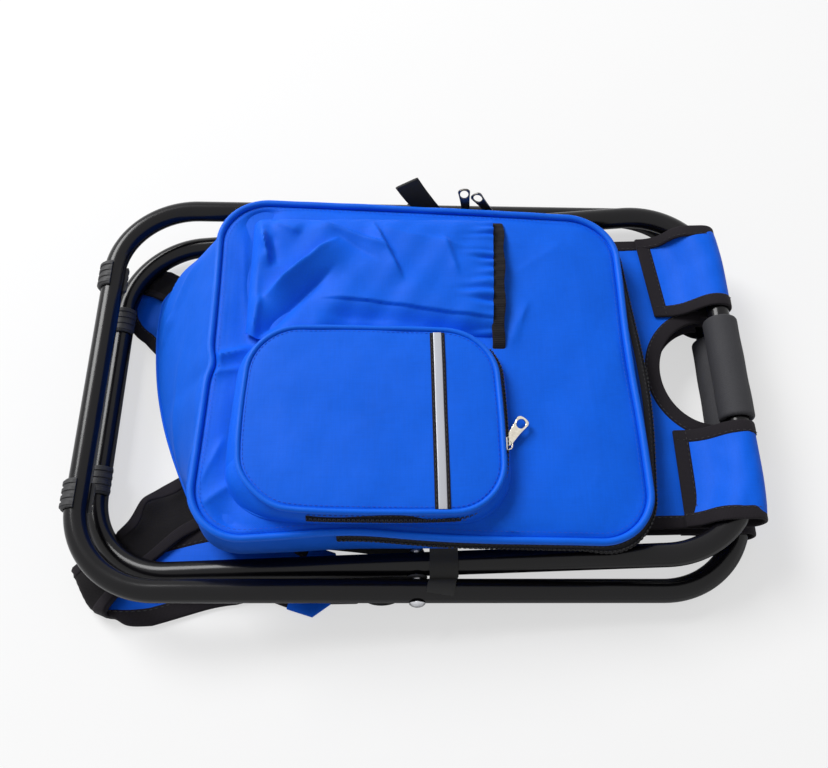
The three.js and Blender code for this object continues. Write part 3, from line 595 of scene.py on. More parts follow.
class Socket:
    """A shader socket with arithmetic: an expression on it adds Math nodes."""

    def __init__(self, shader: Shader, link: bpy.types.NodeSocket) -> None:
        """Keeps the socket and the shader that it belongs to."""
        self.shader = shader
        self.link = link

    def _math(self, operation: str, *values: Any) -> Socket:
        """A Math node of an operation on values."""
        inputs = dict(enumerate(values))
        return self.shader.node("ShaderNodeMath", {"operation": operation}, inputs)

    def __add__(self, other: Any) -> Socket:
        """Sum."""
        return self._math("ADD", self, other)

    def __sub__(self, other: Any) -> Socket:
        """Difference."""
        return self._math("SUBTRACT", self, other)

    def __rsub__(self, other: Any) -> Socket:
        """Difference from a number."""
        return self._math("SUBTRACT", other, self)

    def __mul__(self, other: Any) -> Socket:
        """Product."""
        return self._math("MULTIPLY", self, other)

    def either(self, other: Any) -> Socket:
        """The greater of two values."""
        return self._math("MAXIMUM", self, other)

    __radd__ = __add__
    __rmul__ = __mul__

    def sine(self) -> Socket:
        """Sine of an angle in radians."""
        return self._math("SINE", self)

    def wave(self, pitch: float) -> Socket:
        """A wave between 0 and 1 that repeats every pitch metres."""
        return (self * (2 * math.pi / pitch)).sine() * 0.5 + 0.5

    def clamped(self, low: float, high: float) -> Socket:
        """A smooth step from 0 at low to 1 at high."""
        settings = {"interpolation_type": "SMOOTHSTEP"}
        return self.shader.node("ShaderNodeMapRange", settings, {0: self, 1: low, 2: high})


class Shader:
    """The nodes of a material or a world that is being built."""

    def __init__(self, owner: bpy.types.Material | bpy.types.World) -> None:
        """Empties the owner's nodes.

        Args:
            owner: the material or world.
        """
        owner.use_nodes = True
        self.owner = owner
        self.tree = owner.node_tree
        self.tree.nodes.clear()

    def node(
        self,
        kind: str,
        settings: Settings | None = None,
        inputs: dict[int | str, Any] | None = None,
        output: int | str = 0,
    ) -> Socket:
        """Adds a node.

        Args:
            kind: the node's type.
            settings: attributes, and a ramp's stops as {"stops": [(place, colour), ...]}.
            inputs: value or socket for each input, by name or number.
            output: which output to return.

        Returns:
            The chosen output.
        """
        made = self.tree.nodes.new(kind)
        for key, value in (settings or {}).items():
            if key == "stops":
                self._set_stops(made.color_ramp, value)
            else:
                setattr(made, key, value)
        for key, value in (inputs or {}).items():
            if isinstance(value, Socket):
                self.tree.links.new(value.link, made.inputs[key])
            else:
                made.inputs[key].default_value = value
        return Socket(self, made.outputs[output])

    def _set_stops(self, colours: bpy.types.ColorRamp, stops: Sequence[tuple]) -> None:
        """Fills a colour ramp with stops.

        Args:
            colours: the ramp.
            stops: a place and a colour each.
        """
        while len(colours.elements) < len(stops):
            colours.elements.new(1.0)
        for element, (place, colour) in zip(colours.elements, stops):
            element.position = place
            element.color = colour

    def place(self) -> Socket:
        """Object coordinates in metres."""
        return self.node("ShaderNodeTexCoord", output="Object")

    def map_axes(self) -> tuple[Socket, Socket]:
        """The piece's own map in metres, as two sockets.

        Returns:
            The distance along the piece and the one across it.
        """
        mapped = self.node("ShaderNodeUVMap", {"uv_map": "UVMap"})
        split = {"inputs": {0: mapped}}
        return (
            self.node("ShaderNodeSeparateXYZ", **split, output=0),
            self.node("ShaderNodeSeparateXYZ", **split, output=1),
        )

    def drawn(self, scale: tuple[float, float, float]) -> Socket:
        """Noise drawn out along the axis with the smallest scale.

        Args:
            scale: features per metre along each axis.

        Returns:
            The noise.
        """
        stretch = {"Vector": self.place(), "Scale": scale}
        turned = self.node("ShaderNodeMapping", inputs=stretch)
        inputs = {"Vector": turned, "Scale": 1.0}
        return self.node("ShaderNodeTexNoise", inputs=inputs, output="Fac")

    def noise(self, scale: float, detail: float = 3.0, rough: float = 0.5) -> Socket:
        """Noise on Object coordinates; scale is in features per metre."""
        inputs = {"Vector": self.place(), "Scale": scale, "Detail": detail, "Roughness": rough}
        return self.node("ShaderNodeTexNoise", inputs=inputs, output="Fac")

    def mixed(self, share: Socket, first: Sequence[float], second: Any) -> Socket:
        """A colour between two colours."""
        inputs = {0: share, 6: first, 7: second}
        return self.node("ShaderNodeMix", {"data_type": "RGBA"}, inputs, output=2)

    def bump(
        self, height: Socket, depth: float, strength: float = 1.0, under: Socket | None = None
    ) -> Socket:
        """A normal from a height between 0 and 1 that is depth metres deep.

        Args:
            height: the height.
            depth: its depth in metres.
            strength: how much of it is kept.
            under: a normal that it is laid on.

        Returns:
            The normal.
        """
        inputs = {"Height": height, "Distance": depth, "Strength": strength}
        if under:
            inputs["Normal"] = under
        return self.node("ShaderNodeBump", inputs=inputs)

    def finish(self, **sockets: Any) -> bpy.types.Material:
        """Closes the material with a Principled surface; sockets are named with underscores.

        Args:
            sockets: value or socket for each input.

        Returns:
            The finished material.
        """
        inputs = {name.replace("_", " "): value for name, value in sockets.items()}
        surface = self.node("ShaderNodeBsdfPrincipled", inputs=inputs)
        self.node_out(surface)
        return self.owner

    def node_out(self, surface: Socket, kind: str = "ShaderNodeOutputMaterial") -> None:
        """Links a surface to a new output."""
        made = self.tree.nodes.new(kind)
        self.tree.links.new(surface.link, made.inputs["Surface"])


def linear(red: int, green: int, blue: int) -> Colour:
    """A screen colour from 0 to 255 as linear light: the usual power of 2.4.

    Args:
        red: red.
        green: green.
        blue: blue.

    Returns:
        The colour with full opacity.
    """
    parts = [v / 255 for v in (red, green, blue)]
    light = [v / 12.92 if v < 0.04045 else ((v + 0.055) / 1.055) ** 2.4 for v in parts]
    return (*light, 1.0)


@dataclass(frozen=True)
class Finish:
    """A named finish; each kind builds its own nodes."""

    name: str
    colour: Colour
    slot: str

    def tinted(self, share: float, lift: float = 0.0) -> Colour:
        """The finish's colour times a share, and lifted."""
        return (*(min(c * share + lift, 1.0) for c in self.colour[:3]), 1.0)

    def material(self) -> bpy.types.Material:
        """The finish's material, built once."""
        made = bpy.data.materials.get(self.name)
        return made or self.build(Shader(bpy.data.materials.new(self.name)))

    def build(self, shader: Shader) -> bpy.types.Material:
        """Builds the nodes.

        Args:
            shader: the material being built.

        Returns:
            The finished material.
        """
        raise NotImplementedError


@dataclass(frozen=True)
class PlainWeave(Finish):
    """Coated cloth of over-and-under threads, with a soft uneven shade."""

    pitch: float = 0.0009
    depth: float = 0.00009
    roughness: float = 0.62
    shade: float = 0.8

    def build(self, shader: Shader) -> bpy.types.Material:
        """Threads are two crossed waves; the colour sinks a little between them as painted shade,
        and in patches as uneven tone.

        Args:
            shader: the material being built.

        Returns:
            The finished material.
        """
        u, v = shader.map_axes()
        warp, weft = u.wave(self.pitch), v.wave(self.pitch)
        weave = warp * weft + (1 - warp) * (1 - weft)
        patches = shader.noise(34, 4).clamped(0.3, 0.72)
        fibre = shader.noise(1800, 2)
        slubs = shader.drawn((45.0, 1100.0, 1100.0)) + shader.drawn((1100.0, 45.0, 1100.0))
        # Painted shade: the colour darkens between the threads, where the weave's height is low;
        # patches, fibre and slubs are uneven tone.
        shade = weave * 0.3 + patches * 0.3 + fibre * 0.15 + slubs.clamped(0.8, 1.2) * 0.25
        fine = shader.bump(weave, self.depth, 0.55)
        return shader.finish(
            Base_Color=shader.mixed(shade, self.tinted(self.shade), self.colour),
            Roughness=patches * -0.08 + fibre * 0.08 + self.roughness,
            Normal=shader.bump(shader.noise(120, 4), 0.0007, 0.35, fine),
            Specular_IOR_Level=0.18,
            Sheen_Weight=0.02,
            Sheen_Roughness=0.4,
        )


@dataclass(frozen=True)
class RibbedTape(Finish):
    """Woven tape or webbing: ribs across it and a finer thread along it."""

    rib: float = 0.0011
    depth: float = 0.00018
    roughness: float = 0.8

    def build(self, shader: Shader) -> bpy.types.Material:
        """Ribs are a wave along the tape, crossed by threads at half the pitch.

        Args:
            shader: the material being built.

        Returns:
            The finished material.
        """
        u, v = shader.map_axes()
        ribs = u.wave(self.rib)
        threads = v.wave(self.rib * 1.6)
        height = ribs * 0.7 + threads * ribs * 0.3
        fluff = shader.noise(900, 3)
        lit = self.tinted(2.1, 0.004)
        return shader.finish(
            Base_Color=shader.mixed(height * 0.5 + fluff * 0.3, self.colour, lit),
            Roughness=fluff * 0.12 + self.roughness,
            Normal=shader.bump(height, self.depth, 0.8),
            Specular_IOR_Level=0.18,
            Sheen_Weight=0.03,
        )


@dataclass(frozen=True)
class PowderCoat(Finish):
    """Satin black powder coat on steel tube, with a fine orange-peel skin and light scuffs."""

    roughness: float = 0.22

    def build(self, shader: Shader) -> bpy.types.Material:
        """Two sizes of noise make the skin; scuffs are where a third one peaks.

        Args:
            shader: the material being built.

        Returns:
            The finished material.
        """
        peel = shader.noise(900, 2)
        wide = shader.noise(60, 3)
        scuff = shader.noise(260, 6, 0.7).clamped(0.68, 0.8)
        worn = self.tinted(2.6, 0.006)
        return shader.finish(
            Base_Color=shader.mixed(scuff * 0.5, self.colour, worn),
            Roughness=scuff * 0.16 + wide * 0.08 + (self.roughness - 0.04),
            Normal=shader.bump(peel, 0.00005, 0.25),
            Specular_IOR_Level=0.22,
            Coat_Weight=0.05,
            Coat_Roughness=0.08,
        )


@dataclass(frozen=True)
class PlatedMetal(Finish):
    """Bright plated metal with fine scratches and duller patches."""

    roughness: float = 0.24

    def build(self, shader: Shader) -> bpy.types.Material:
        """Scratches are noise drawn out along X; patches dull the plating.

        Args:
            shader: the material being built.

        Returns:
            The finished material.
        """
        lines = shader.drawn((90.0, 1400.0, 1400.0))
        patches = shader.noise(500, 3)
        dull = self.tinted(0.86)
        return shader.finish(
            Base_Color=shader.mixed(patches.clamped(0.35, 0.6), dull, self.colour),
            Metallic=1.0,
            Roughness=lines * 0.12 + patches * 0.06 + (self.roughness - 0.08),
            Normal=shader.bump(lines, 0.00003, 0.3),
        )


@dataclass(frozen=True)
class MouldedPlastic(Finish):
    """Moulded black plastic with a fine spark-eroded grain."""

    roughness: float = 0.48

    def build(self, shader: Shader) -> bpy.types.Material:
        """Fine noise makes the grain and coarse noise the handling marks.

        Args:
            shader: the material being built.

        Returns:
            The finished material.
        """
        grain = shader.noise(2200, 2)
        marks = shader.noise(90, 4)
        pale = self.tinted(1.9, 0.003)
        return shader.finish(
            Base_Color=shader.mixed(marks * 0.5 + grain * 0.2, self.colour, pale),
            Roughness=grain * 0.1 + marks * 0.12 + (self.roughness - 0.08),
            Normal=shader.bump(grain, 0.00006, 0.4),
        )


@dataclass(frozen=True)
class ClosedFoam(Finish):
    """Dark closed-cell foam: a matte skin with small open cells."""

    def build(self, shader: Shader) -> bpy.types.Material:
        """Cells are a Voronoi pattern whose pits take painted shade; the skin's tone shifts along
        the sleeve.

        Args:
            shader: the material being built.

        Returns:
            The finished material.
        """
        cell_inputs = {"Vector": shader.place(), "Scale": 1500.0}
        cells = shader.node("ShaderNodeTexVoronoi", inputs=cell_inputs, output="Distance")
        patches = shader.noise(45, 3)
        # Painted shade: the colour darkens in the cells' pits; the patches are uneven tone.
        dark = self.tinted(0.6)
        pits = cells.clamped(0.1, 0.6)
        return shader.finish(
            Base_Color=shader.mixed(pits * 0.6 + patches * 0.4, dark, self.colour),
            Roughness=patches * 0.1 + 0.68,
            Normal=shader.bump(pits, 0.00012, 0.6),
            Specular_IOR_Level=0.35,
        )


@dataclass(frozen=True)
class ReflectiveTape(Finish):
    """Silver glass-bead tape with a fine grid."""

    def build(self, shader: Shader) -> bpy.types.Material:
        """A diagonal grid of two waves, with beads as fine noise.

        Args:
            shader: the material being built.

        Returns:
            The finished material.
        """
        u, v = shader.map_axes()
        grid = (u + v).wave(0.0016) * (u - v).wave(0.0016)
        beads = shader.noise(3000, 1)
        dim = self.tinted(0.72)
        return shader.finish(
            Base_Color=shader.mixed(beads * 0.5 + grid * 0.5, dim, self.colour),
            Metallic=0.25,
            Roughness=beads * 0.16 + 0.34,
            Normal=shader.bump(beads, 0.00003, 0.4),
        )


@dataclass(frozen=True)
class Foil(Finish):
    """Metallised lining over thin foam, softly dented and crinkled."""

    def build(self, shader: Shader) -> bpy.types.Material:
        """Dents are coarse noise and crinkles finer noise with hard edges.

        Args:
            shader: the material being built.

        Returns:
            The finished material.
        """
        dents = shader.noise(62, 2)
        crinkle = shader.noise(210, 6, 0.65)
        dull = self.tinted(0.6)
        height = dents * 0.6 + crinkle * 0.4
        return shader.finish(
            Base_Color=shader.mixed(crinkle, dull, self.colour),
            Metallic=0.85,
            Roughness=crinkle * 0.2 + 0.22,
            Normal=shader.bump(height, 0.0014, 0.8),
        )


@dataclass(frozen=True)
class Thread(Finish):
    """Twisted sewing thread."""

    def build(self, shader: Shader) -> bpy.types.Material:
        """A diagonal wave on the stitch's own map makes the twist and the painted shade in its
        grooves.

        Args:
            shader: the material being built.

        Returns:
            The finished material.
        """
        u, v = shader.map_axes()
        twist = (u + v * 0.7).wave(0.0005)
        fluff = shader.noise(400, 2)
        # Painted shade: the colour darkens in the twist's grooves; the fluff is uneven tone.
        deep = self.tinted(0.6)
        return shader.finish(
            Base_Color=shader.mixed(twist * 0.6 + fluff * 0.4, deep, self.colour),
            Roughness=twist * 0.15 + 0.55,
            Normal=shader.bump(twist, 0.00005, 0.5),
            Sheen_Weight=0.1,
        )


class Kit(Enum):
    """The finishes that the stool's pieces are made in."""

    TUBE = PowderCoat("powder_coat_black", linear(13, 12, 15), "frame_tube")
    RIVET = PlatedMetal("zinc_plate", linear(205, 206, 210), "rivet_metal", 0.3)
    NICKEL = PlatedMetal("nickel_plate", linear(226, 220, 206), "zip_metal", 0.22)
    # A darker copy of the plated metal for the main zip's sliders and pulls: a painted dark
    # reflection.
    DARK_METAL = PlatedMetal("dark_plate", linear(96, 94, 92), "zip_metal", 0.34)
    PLASTIC = MouldedPlastic("black_plastic", linear(27, 27, 30), "black_plastic")
    RUBBER = MouldedPlastic("clip_plastic", linear(31, 31, 33), "black_plastic", 0.6)
    FOAM = ClosedFoam("grip_foam", linear(54, 54, 58), "foam_grip")
    CLOTH = PlainWeave("blue_cloth", linear(0, 101, 240), "blue_fabric")
    # The same blue cloth made darker for the bag's body and its base seam: painted shade.
    DEEP_CLOTH = PlainWeave("blue_gusset_cloth", linear(0, 99, 231), "blue_fabric")
    MESH = PlainWeave("black_mesh", linear(24, 22, 24), "black_webbing", 0.0016, 0.0003, 0.85)
    # A finer weave than the blue cloth, in a slightly paler blue that is a painted highlight on the
    # cord.
    PIPING = PlainWeave("piping_cloth", linear(6, 104, 238), "piping", 0.0006, 0.00005, 0.5, 0.85)
    BINDING = RibbedTape("black_binding", linear(23, 20, 24), "blue_fabric", 0.0009, 0.00012)
    WEBBING = RibbedTape("black_webbing", linear(24, 22, 25), "black_webbing", 0.0016, 0.0003)
    ZIP_TAPE = RibbedTape("zip_tape", linear(20, 19, 22), "black_webbing", 0.0008, 0.0001)
    ELASTIC = RibbedTape("elastic_band", linear(22, 20, 22), "black_webbing", 0.0013, 0.00035)
    TEETH = MouldedPlastic("zip_teeth", linear(24, 24, 26), "black_webbing", 0.4)
    SILVER = ReflectiveTape("reflective_silver", linear(196, 199, 208), "reflective_tape")
    FOIL = Foil("foil_lining", linear(208, 212, 216), "foil_liner")
    BLUE_THREAD = Thread("blue_thread", linear(0, 86, 222), "blue_fabric")
    BLACK_THREAD = Thread("black_thread", linear(30, 28, 31), "black_webbing")


# Pieces


class Body(Enum):
    """The moving bodies that pieces ride on."""

    WIDE = "wide_frame"
    WIDE_SEAT = "wide_seat"
    NARROW = "narrow_frame"
    NARROW_SEAT = "narrow_seat"
    LID = "bag_lid"
    FLAP = "pocket_flap"


def piece(
    name: str,
    patches: Patch | list[Patch],
    finish: Kit,
    body: Body | str | None,
    place: Place = ROW,
    replaced: Sequence[str] = (),
    sharp: float = 50.0,
) -> bpy.types.Object:
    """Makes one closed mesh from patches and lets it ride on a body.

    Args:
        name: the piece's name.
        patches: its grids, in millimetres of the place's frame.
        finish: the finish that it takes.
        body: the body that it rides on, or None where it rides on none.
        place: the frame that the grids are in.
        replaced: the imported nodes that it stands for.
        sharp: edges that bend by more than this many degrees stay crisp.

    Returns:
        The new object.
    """
    patches = [patches] if isinstance(patches, Patch) else patches
    vertices, faces, maps, shift = [], [], [], 0
    for patch in patches:
        quads, mapped = patch.faces()
        vertices.append(patch.points.reshape(-1, 3))
        faces += (quads + shift).tolist()
        maps.append(mapped.reshape(-1, 2))
        for cap in patch.caps():
            faces.append([corner + shift for corner in cap])
            flat = patch.points.reshape(-1, 3)[cap]
            maps.append(flat[:, :2])
        shift += len(vertices[-1])
    mesh = bpy.data.meshes.new(name)
    points = place.row(np.concatenate(vertices)) * METRES_PER_MM
    mesh.from_pydata(points.tolist(), [], faces)
    layer = mesh.uv_layers.new(name="UVMap")
    layer.data.foreach_set("uv", (np.concatenate(maps) * METRES_PER_MM).ravel())
    work = bmesh.new()
    work.from_mesh(mesh)
    bmesh.ops.remove_doubles(work, verts=work.verts, dist=WELD_DISTANCE)
    bmesh.ops.recalc_face_normals(work, faces=work.faces)
    work.to_mesh(mesh)
    work.free()
    mesh.shade_smooth()
    mesh.set_sharp_from_angle(angle=math.radians(sharp))
    mesh.materials.append(finish.value.material())
    made = bpy.data.objects.new(name, mesh)
    bpy.context.scene.collection.objects.link(made)
    if body:
        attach(made, body.value if isinstance(body, Body) else body)
    if replaced:
        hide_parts(*replaced)
    LOG.info("%s: %d faces", name, len(mesh.polygons))
    return made


# Frame


@dataclass(frozen=True)
class Loop:
    """One closed loop of steel tube, lying in the plane of its own frame."""

    name: str
    place: Place
    half: float
    body: Body
    reach: tuple[float, float] = (-233.0, 226.0)
    corner: float = 60.0
    radius: float = 8.0

    def line(self) -> Array:
        """The tube's centre line: straight sides joined by quarter turns.

        Returns:
            The line's points.
        """
        (left, right), w = self.reach, self.half
        corners = ((left, -w), (right, -w), (right, w), (left, w))
        flat = rounded_quad(corners, self.corner, 70, 30)
        return points3(flat, 0.0)

    def bend(self, y: Array) -> Array:
        """How far the bar has bent back at a distance along it: the drop of a quarter circle."""
        over = np.clip(np.abs(y) - (self.half - self.corner), 0, self.corner - 1)
        return self.corner - np.sqrt(self.corner**2 - over**2)

    def build(self) -> None:
        """The tube as a circle carried round the loop."""
        tube = sweep(self.line(), circle(self.radius, 40), closed=True)
        piece(self.name, tube, Kit.TUBE, self.body, self.place, [self.name])


WIDE_LOOP = Loop("wide_frame", WIDE, 154.0, Body.WIDE)
NARROW_LOOP = Loop("narrow_frame", NARROW, 136.0, Body.NARROW)


@dataclass(frozen=True)
class Pivots:
    """The two rivets on which the loops turn, with a washer between the tubes."""

    head: FlatPoints = (
        (0.0, 164.9), (2.2, 164.7), (4.0, 164.0), (5.2, 163.0), (5.5, 162.3), (3.0, 162.2),
    )
    tail: FlatPoints = (
        (3.0, 127.8), (4.5, 127.7), (4.4, 126.6), (3.2, 125.9), (1.6, 125.7), (0.0, 126.2),
    )
    washer: FlatPoints = (
        (3.1, 144.3), (6.4, 144.3), (7.0, 144.7), (7.0, 145.3), (6.4, 145.7), (3.1, 145.7),
    )

    def build(self) -> None:
        """Turned profiles on both sides; the near ones are mirrored."""
        for label, side in (("near", -1), ("far", 1)):
            for kind, profile, sides, finish in (
                ("rivet", (*self.head, *self.tail), 40, Kit.RIVET),
                ("washer", (*self.washer, self.washer[0]), 48, Kit.PLASTIC),
            ):
                mirrored = [(r, side * y) for r, y in profile]
                shape = turned_about_y(mirrored, sides, np.array(PIVOT))
                name = f"pivot_{kind}_{label}"
                piece(name, shape, finish, Body.WIDE, ROW, [name], 35)


@dataclass(frozen=True)
class FootClip:
    """A ribbed plastic foot that snaps round a foot bar, open towards the other loop."""

    loop: Loop
    y: float
    facing: float
    inner: float = 8.15
    outer: float = 10.2
    rib: float = 0.85
    length: float = 21.0
    mouth: float = 96.0
    ribs: int = 4

    def build(self, name: str) -> None:
        """A C-shaped section whose outside rises in four ribs, turned about the bar.

        The radius outside is the wall plus a rib that is a squared-off wave along the bar, and
        it falls to a lip at both edges of the mouth.

        Args:
            name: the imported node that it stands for.
        """
        a = np.radians(np.linspace(self.mouth / 2 - 180, 180 - self.mouth / 2, 72) + self.facing)
        across = np.linspace(-0.5, 0.5, 97)
        wave = smooth(0.5 + 2.2 * np.cos(2 * np.pi * (self.ribs * across - 0.5)))
        ends = smooth((0.5 - np.abs(across)) * self.length / 0.7)
        edge = smooth(np.minimum(np.arange(72), 71 - np.arange(72)) / 5)
        outside = self.outer + (self.rib * wave - 0.5 * (1 - ends))[:, None] * (0.4 + 0.6 * edge)
        flat_pad = (self.outer + self.rib - 0.35) / np.cos(a - np.radians(self.facing))
        outside = np.where(flat_pad > 0, np.minimum(outside, flat_pad), outside)
        out = self._around(outside, a, across)
        back = self._around(np.full_like(outside, self.inner), a, across)
        skin = np.concatenate([out, back[:, ::-1]], 1)
        lips = [Patch(np.stack([out[i], back[i]])) for i in (0, -1)]
        shape = [Patch(skin, wrap_cols=True), *lips]
        piece(name, shape, Kit.RUBBER, self.loop.body, self.loop.place, [name], 40)

    def _around(self, radius: Array, angles: Array, across: Array) -> Array:
        """Points at a radius and angle about the foot bar.

        Args:
            radius: distance from the bar's middle.
            angles: angle of each column.
            across: place of each row, from -0.5 to 0.5.

        Returns:
            The points, one row for each place.
        """
        x = self.loop.reach[0] + radius * np.cos(angles)
        z = radius * np.sin(angles)
        y = np.broadcast_to((self.y + across * self.length)[:, None], x.shape)
        return np.stack([x, y, z], -1)


@dataclass(frozen=True)
class FoamGrip:
    """A foam sleeve pushed over the middle of a seat bar."""

    loop: Loop
    name: str
    end: float = 40.0
    radius: float = 12.2
    shift: float = -2.5
    shoulder: float = 2.4
    bore: FlatPoints = ((8.2, 39.2), (8.1, 0.0), (8.2, -39.2))

    def build(self) -> None:
        """A turned profile with soft shoulders and slightly dished ends."""
        t = np.linspace(-1, 1, 41)
        y = self.end * np.sign(t) * (1 - (1 - np.abs(t)) ** 1.6)
        edge = (self.end - np.abs(y)) / self.shoulder
        rounded = 1 - np.sqrt(np.clip(1 - (1 - np.clip(edge, 0, 1)) ** 2, 0, 1))
        radius = self.radius - self.shoulder * rounded
        radius = radius + 0.12 * np.sin(y / 5.3) * smooth(edge / 3)
        profile = [*zip(radius, y), *self.bore, (radius[0], y[0])]
        shape = turned_about_y(profile, 72, np.array([self.loop.reach[1], self.shift, 0.0]))
        piece(self.name, shape, Kit.FOAM, self.loop.body, self.loop.place, [self.name], 60)


# Seat


@dataclass(frozen=True)
class SeatHalf:
    """Half of the fabric seat under its bar, with its bound edges and its two tabs.

    In its own frame x runs from the bar towards the middle seam and z away from the other half.
    """

    label: str
    loop: Loop
    body: Body
    bar: tuple[float, float]
    side: int

    width: float = 116.0
    start: float = 11.0
    end: float = 138.4
    face: float = -9.5
    thick: float = 1.5
    hole: tuple[float, float] = (47.0, 42.5)
    bind: float = 9.2
    hole_bind: float = 11.0
    tab_span: tuple[float, float] = (47.0, 116.0)
    tab_end: tuple[float, float] = (43.5, 47.5)
    tab_slant: tuple[float, float] = (0.0, 7.0)
    crest: float = 10.1
    blend_from: float = 6.0
    blend_to: float = 30.0

    def row(self, points: Array) -> Array:
        """Points of the half's frame in the row frame."""
        x, y, z = np.moveaxis(points, -1, 0)
        return np.stack([self.bar[0] - x, y, self.bar[1] + self.side * z], -1)

    def height(self, x: Array, y: Array) -> Array:
        """The cloth's height: level, dropping to the seam, with a slack wave over it.

        Args:
            x: distances from the bar.
            y: places along the bar.

        Returns:
            The height at each place.
        """
        drop = 5.9 * ramp(x, 92, 140)
        slack = 0.35 * ripple(x, y + 31 * self.side, 74.0)
        return self.face - drop + slack * ramp(x, 20, 60) * (1 - ramp(x, 120, 138))

    def hole_edge(self, y: Array, grow: float = 0.0) -> Array:
        """Where the cloth starts at y: a half ellipse round the hand hole."""
        depth, half = self.hole[0] - self.start + grow, self.hole[1] + grow
        return self.start + depth * np.sqrt(np.clip(1 - (y / half) ** 2, 0, 1))

    def panel(self) -> None:
        """The cloth: a grid from the hole's edge, or the bar, to the seam."""
        t = np.linspace(-1, 1, 161)
        y = self.width * t
        start = self.hole_edge(y)
        s = np.linspace(0, 1, 90)[:, None]
        x = start + (self.end - start) * s
        yy = np.broadcast_to(y, x.shape)
        grid = np.stack([x, yy, self.height(x, yy)], -1)
        name = f"{self.label}_seat_cloth"
        cloth = sheet(self.row(grid), self.thick)
        made = piece(name, cloth, Kit.CLOTH, self.body, ROW, [f"{self.label}_seat_panel"])

    def binding(self, name: str, x: Array, y: Array, inward: Array, width: float) -> None:
        """A folded tape along an edge of the cloth, with a row of stitches near its inner edge.

        Args:
            name: the piece's name.
            x: the edge's distances from the bar.
            y: the edge's places along the bar.
            inward: directions into the cloth.
            width: the tape's width.
        """
        path = np.stack([x, y, self.height(x, y)], -1)
        section = band_section(width, self.thick + 1.5, 18, -0.9)
        across = np.concatenate([inward, np.zeros((len(x), 1))], -1)
        tape = edged(path, across, np.broadcast_to(UP, path.shape), section)
        tape.points = self.row(tape.points)
        piece(name, tape, Kit.BINDING, self.body)
        rise = UP * (self.thick / 2 + 0.75)
        seam = path + across * (width - 2.4) + rise
        threads = stitches(self.row(seam), UP * self.side)
        piece(f"{name}_stitches", threads, Kit.BLACK_THREAD, self.body)

    def edges(self) -> None:
        """Bindings along the hand hole and both long edges."""
        a = np.linspace(-1, 1, 120) * np.radians(90)
        depth, half = self.hole[0] - self.start, self.hole[1]
        x = self.start + depth * np.cos(a)
        y = half * np.sin(a)
        inward = unit(np.stack([np.cos(a) * half, np.sin(a) * depth], -1))
        self.binding(f"{self.label}_hand_hole_binding", x, y, inward, self.hole_bind)
        for label, side in (("near", -1), ("far", 1)):
            x = np.linspace(20.0, self.end - 1.5, 90)
            y = np.full_like(x, side * self.width)
            inward = np.stack([np.zeros_like(x), np.full_like(x, -side)], -1)
            self.binding(f"{self.label}_seat_binding_{label}", x, y, inward, self.bind)

    def tab_section(self, y: float, side: int, count: int = 110) -> Array:
        """The tab's line in x and z at y: under the bar, round it, over it and down to the cloth.

        Past the start of the tube's bend the crest follows the tube, so the tab stays straight
        outside and the tube leaves it underneath.

        Args:
            y: the distance from the middle of the bar.
            side: -1 for the near tab and 1 for the far one.
            count: how many points are wanted.

        Returns:
            The line's points.
        """
        bend = float(self.loop.bend(np.array(y)))
        low, high = self.face + 0.1, self.crest
        mid, radius = (low + high) / 2, (high - low) / 2
        a = -np.pi / 2 - np.pi * np.linspace(0, 1, 30)
        turn = np.stack([radius * np.cos(a) + 0.2 * bend, mid + radius * np.sin(a)], -1)
        landing = 31 + 0.75 * bend
        rest = self.face + 2.5
        over = [(4 + bend, high - 0.2), (10 + bend, high - 2.6), (landing - 8, rest + 3.4)]
        first, last = self.tab_span
        share = (y - (first + last) / 2) / (last - first)
        end = self.tab_end[side > 0] + self.tab_slant[side > 0] * share
        tail = [(landing, rest + 0.5), (landing + 3, rest), (end, rest)]
        line = np.concatenate([[(13.5, low)], [(6.0, low)], turn, over, tail])
        return resampled(line, count)

    def tab(self, label: str, side: int) -> None:
        """One tab: cloth round the bar, bound along both sides and its end.

        Args:
            label: near or far.
            side: -1 for the near tab and 1 for the far one.
        """
        y = np.linspace(*self.tab_span, 61)
        lines = np.stack([self.smoothed(self.tab_section(v, side)) for v in y])
        droop = 1.1 * ramp(y, 104, 116)[:, None] + 0.6 * (1 - ramp(y, 47, 58))[:, None]
        lift = 0.3 * ripple(lines[..., 0], y[:, None] + 13 * side, 33.0)
        z = lines[..., 1] + (lift - 0.35 * droop) * ramp(lines[..., 1], -5, 4)
        yy = np.broadcast_to(side * y[:, None], z.shape)
        grid = np.stack([lines[..., 0], yy, z], -1)
        name = f"{self.label}_seat_tab_{label}"
        cloth = self.blended(name, sheet(self.row(grid), 1.3), Kit.CLOTH, [name])
        for edge, row, inward in (("inner", 0, side), ("outer", -1, -side)):
            self.tab_binding(f"{name}_{edge}_binding", grid[row], np.array([0.0, inward, 0.0]))
        end = grid[:, -1]
        self.tab_binding(f"{name}_end_binding", end, np.array([-1.0, 0.0, 0.0]), True)

    def smoothed(self, line: Array) -> Array:
        """A line with its corners eased: repeated means with the neighbours.

        Args:
            line: the points, which are changed.

        Returns:
            The same line.
        """
        for _ in range(26):
            line[1:-1] = (line[:-2] + 2 * line[1:-1] + line[2:]) / 4
        return line

